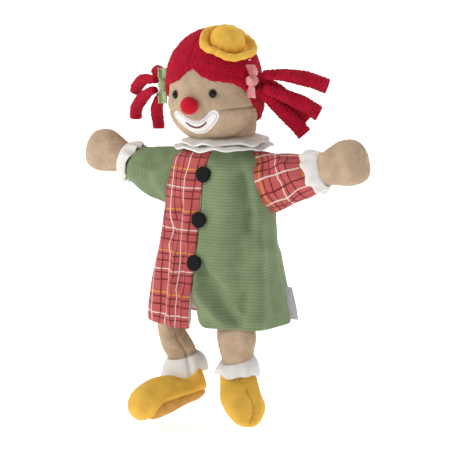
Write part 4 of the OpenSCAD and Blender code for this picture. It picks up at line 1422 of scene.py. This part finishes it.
# Depth below the hip, half width, half depth
LEG_SIZES = [(-10.5, 5.0, 3.6), (-8.5, 9.5, 7.0), (-3.0, 14.0, 10.2), (3.0, 16.0, 11.8),
             (10.0, 17.0, 12.6), (20.0, 16.6, 12.6), (30.0, 14.4, 11.6), (37.0, 11.4, 10.2),
             (41.0, 8.6, 7.8), (44.0, 4.5, 4.2)]
LEG_CREASE = 50.0  # degrees round from the front to the inner side


def leg(side):
    """A stuffed leg that hangs from the hem, with a crease down its inner front where it folds."""
    name = SIDE_NAMES[side]
    place = leg_place(side)
    down, wide, deep = by_outline(LEG_SIZES, 72)
    t = full_circle(96)[None, :]
    across = wide * np.cos(t)
    if side == RIGHT:
        # Its inner side is folded away under the hem, and it hangs a little longer
        across = across * np.where(np.cos(t) > 0, 0.15 + 0.85 * smooth((down - 4) / 30), 1.0)
        down = down + 4.0 * smooth(down / 40)
    else:
        across = across * (1 + 0.14 * (1 - smooth(down / 26)))
    p = stack(across, deep * np.sin(t), -down)
    direction = away_from(p, stack(0, 0, -np.clip(down, 0, 38)))
    crease_at = math.radians(-90 - side * LEG_CREASE)
    crease = np.abs(wrapped(t - crease_at)) * wide
    out = 0.35 * lumps(p + 50 * side, 10) + 0.12 * lumps(p, 4)
    strong = 2.8 if side == RIGHT else 0.6
    out -= (strong * hump(crease, 1.6) + 0.8 * hump(crease, 5)) * smooth((down + 4) / 10)
    back = np.abs(wrapped(t - math.pi / 2)) * wide
    out -= 0.8 * hump(back, 1.2) + 0.4 * hump(back, 4)
    piece = grid(name + "_leg_plush", place.out(p + direction * out[..., None]), None, TAN, wrap=True,
                 caps=True,
                 outward=place.out(np.array([0, 0, -20.0])))
    local = place.inside(np.array([v.co for v in piece.data.vertices]) / MM)
    angle = np.arctan2(local[:, 1], local[:, 0])
    held = (np.abs(wrapped(angle - crease_at)) < 0.12) | (local[:, 2] > 2) | (local[:, 2] < -34)
    swell(piece, held)
    finish_piece(piece, name + "_leg", "tan_plush", name + "_leg_skin", name + "_leg_stuffing")


def ankle_frill(side):
    """A white cuff that rests on the shoe, folded where the leg is creased."""
    name = SIDE_NAMES[side]
    place = leg_place(side)
    spine = [(0.0, 27.5, 14.4, 11.8), (0.2, 29.0, 16.4, 13.6), (0.45, 32.5, 18.6, 16.2),
             (0.7, 37.0, 20.4, 18.4), (0.9, 41.5, 21.4, 19.6), (1.0, 43.5, 21.2, 19.6)]
    if side == LEFT:
        spine = [(share, at, tall * 0.94, deep * 0.94) for share, at, tall, deep in spine]
    else:
        spine = [(share, at + 4.0 * share, tall + 2 * share, deep + 3 * share)
                 for share, at, tall, deep in spine]
    fold = math.radians(-90 - side * LEG_CREASE)
    at, x, y, t, share = ruffle(spine, 0.75, 7, 10, fold if side == RIGHT else None)
    if side == LEFT:
        # Its top dips in front, and rises on its outer side
        tilt = (4.6 * np.sin(t) + 1.8 * np.cos(t)) * (1 - share) - 0.6 * np.cos(t) * share + 1.4 * share
    else:
        tilt = 1.5 * np.cos(t) - 7.5 - 2.5 * share + 1.5 * np.sin(t) * share + 7.5 * share * smooth(np.cos(t))
        y = y - 3.5 * share
    p = stack(x, y, -at + tilt)
    piece = grid(name + "_ankle_ruffle", place.out(p), cuff_uv(*p.shape[:2], 0.12, 0.018), WHITE, wrap=True,
                 outward=place.out(np.array([0, 0, -36.0])))
    thicken(piece, CUFF_CLOTH * MM)
    round_edges(piece)
    start, stop = place.out(np.array([[0, 0, -29.0], [0, 0, -43.0]]))
    finish_piece(piece, name + "_leg", "white_cotton", name + "_ankle_frill",
                 blend=(name + "_foot", start, stop))


# Distance behind the ankle, half width, and the heights of the top and the bottom
SHOE_SIZES = [(16.2, 5.0, -14.0, -22.0), (14.6, 9.0, -8.0, -27.0), (11.0, 12.6, -3.6, -30.5),
              (5.0, 14.8, -1.5, -32.0), (-3.0, 15.6, -1.6, -32.4), (-12.0, 16.8, -4.4, -32.6),
              (-23.0, 18.8, -6.4, -33.0), (-34.0, 20.0, -6.8, -33.6), (-43.0, 19.6, -8.0, -33.8),
              (-49.5, 16.6, -11.0, -32.0), (-53.5, 11.4, -15.4, -28.4), (-55.2, 5.0, -19.4, -24.4)]
SOLE_LINE = -27.8


def shoe(side):
    """A soft velour shoe with a seam over the toe and up the heel, and a suede sole sewn round its edge."""
    name = SIDE_NAMES[side]
    place = foot_place(side)
    y, wide, top, bottom = by_outline(SHOE_SIZES, 110)
    t = full_circle(140)[None, :]
    top, bottom = top * FOOT_HEIGHTS[side], bottom * FOOT_HEIGHTS[side]
    if side == RIGHT:
        # The cuff lies over the instep, which is low here, and the toe and the heel stand up
        top = top - 13 * hump(y + 1, 12) + 6.5 * hump(y - 14, 5) + 3 * hump(y + 28, 20)
        bottom = bottom - 3 * hump(y + 28, 18)
        y = y * (1 + 0.07 * smooth(-y / 40))
    else:
        # This toe is narrow and turned a little out
        wide = wide * (1.06 - 0.3 * smooth((-30 - y) / 22))
        top = top - 3.5 * smooth((y + 1) / 6)
        y = y * (1 - 0.05 * smooth(-y / 40))
    x = wide * bulge(np.cos(t), 2.3)
    seam_x = 0.5
    if side == LEFT:
        x = x + 2.5 * smooth((-22 - y) / 26)
        seam_x = seam_x + 4.5 * smooth((-16 - y) / 20) * (1 - 0.4 * smooth((-44 - y) / 10))
    sole_line = SOLE_LINE * FOOT_HEIGHTS[side]
    z = (top + bottom) / 2 + (top - bottom) / 2 * bulge(np.sin(t), 2.4)
    p = stack(x, y, z)
    middle_z = (top + bottom) / 2
    direction = away_from(p, stack(0, np.clip(y, -44, 8), middle_z))
    upper = z > middle_z
    toe = smooth((-16 - y) / 10)
    out = 0.35 * lumps(p + 70 * side, 11) + 0.12 * lumps(p, 4)
    # Toe seam with its gathers, and the dimple that it draws in
    out -= np.where(upper, (1.9 * hump(x - seam_x, 0.75) + 1.3 * hump(x - seam_x, 4)) * toe, 0)
    out -= np.where(upper, 1.6 * hump(np.hypot(x - 1, y + 26), 6.5), 0)
    out += np.where(upper, 0.35 * np.sin(y * 1.3) * hump(np.abs(x - seam_x) - 3.2, 2.2) * toe, 0)
    out += np.where(upper, 0.9 * hump(np.hypot(np.abs(x) - 9, y + 30), 8), 0)
    heel = smooth((y - 9) / 4)
    out -= (1.0 * hump(x, 0.9) + 0.5 * hump(x, 3.5)) * heel
    # Wrinkles over the instep
    out += np.where(upper, 0.45 * np.sin(0.9 * y + 0.12 * x * x) * hump(y + 12, 7), 0)
    from_seam = z - sole_line + 9 * smooth((-32 - y) / 16)
    out -= 1.6 * hump(from_seam, 0.7) + 0.9 * hump(from_seam, 2.6)
    p = p + direction * out[..., None]
    points, middle = place.out(p), place.out(np.array([0, -18.0, -20.0]))

    # The sole stops short of the toe, which curls down in front of it
    def above(centres):
        local = place.inside(centres / MM)
        return local[:, 2] > sole_line - 9 * smooth((-32 - local[:, 1]) / 16)

    def below(centres):
        return ~above(centres)

    velour = grid(name + "_shoe_velour", points, None, MUSTARD, wrap=True, caps=True, outward=middle,
                  keep=above)
    finish_piece(velour, name + "_foot", "mustard_velour", name + "_shoe_upper", name + "_shoe_stuffing")
    suede = grid(name + "_sole_suede", points, None, SOLE, wrap=True, outward=middle, keep=below)
    finish_piece(suede, name + "_foot", "sole_suede", name + "_shoe_sole")


# ---------- stage ----------

FLOOR_GAP = 0.001
SKY_STRENGTH = 0.42
# Name, place in metres, size in metres, and watts
LAMPS = [("key", (-1.15, -1.25, 1.05), 0.6, 17.0), ("glint", (1.15, 0.2, 1.75), 0.8, 2.6),
         ("top", (0.1, 0.5, 1.7), 1.2, 6.0)]
LAMP_TARGET = (0, 0, 0.1)
CAMERA_AT, CAMERA_AIM = (0.6476, -1.1126, 0.2659), (0.0039, 0.00225, 0.085)
CAMERA_LENS_MM = 115.04


def put_facing(name, data, place, target):
    """Puts a lamp or the camera at a place, turned to a target."""
    thing = bpy.data.objects.new(name, data)
    thing.location = place
    thing.rotation_euler = (Vector(target) - Vector(place)).to_track_quat("-Z", "Y").to_euler()
    bpy.context.scene.collection.objects.link(thing)
    return thing


def stage():
    """A pale floor that curves up behind, a white sky, and soft lights."""
    low = CAD_BOX[0][2] - FLOOR_GAP
    profile = [(-4.0, 0.0), (1.6, 0.0)]
    profile += [(1.6 + 0.9 * math.sin(a), 0.9 - 0.9 * math.cos(a))
                for a in np.radians(np.linspace(5, 90, 14))]
    profile += [(2.5, 4.0)]
    points = np.array([[(x, y, low + z) for y, z in profile] for x in (-6.0, 6.0)])
    backdrop = grid("backdrop", points, None, floor_paint("pale paint"))
    world = bpy.data.worlds.new("studio")
    world.use_nodes = True
    background = world.node_tree.nodes["Background"]
    background.inputs["Color"].default_value = (1, 1, 1, 1)
    background.inputs["Strength"].default_value = SKY_STRENGTH
    bpy.context.scene.world = world
    for name, place, size, power in LAMPS:
        light = bpy.data.lights.new(name, "AREA")
        light.size = size
        light.energy = power
        put_facing(name, light, place, LAMP_TARGET)
    bpy.context.scene.view_settings.view_transform = "Standard"


def camera():
    data = bpy.data.cameras.new("photo view")
    data.lens = CAMERA_LENS_MM
    data.sensor_width = 36
    bpy.context.scene.camera = put_facing("photo view", data, CAMERA_AT, CAMERA_AIM)


# ---------- all of it ----------

stage()
camera()
for side in (RIGHT, LEFT):
    for front in (True, False):
        coat_panel(side, front)
    coat_lining(side)
frill("collar_lower_ruffle", "collar_lower_frill", 15, 43.5, 161.0, 156.6, 0.9, 0.4)
frill("collar_upper_ruffle", "collar_upper_frill", 15, 40.5, 164.5, 161.0, 0.9, 2.3)
buttons()
side_label()
neck()
head_skin()
hair_cap()
head_pocket()
nose()
mouth_patch()
smile()
hat()
for side in (RIGHT, LEFT):
    eye(side)
    for number in range(4):
        strand(side, number)
    bow(side)
    sleeve(side)
    arm_pocket(side)
    wrist_frill(side)
    hand(side)
    leg(side)
    ankle_frill(side)
    shoe(side)
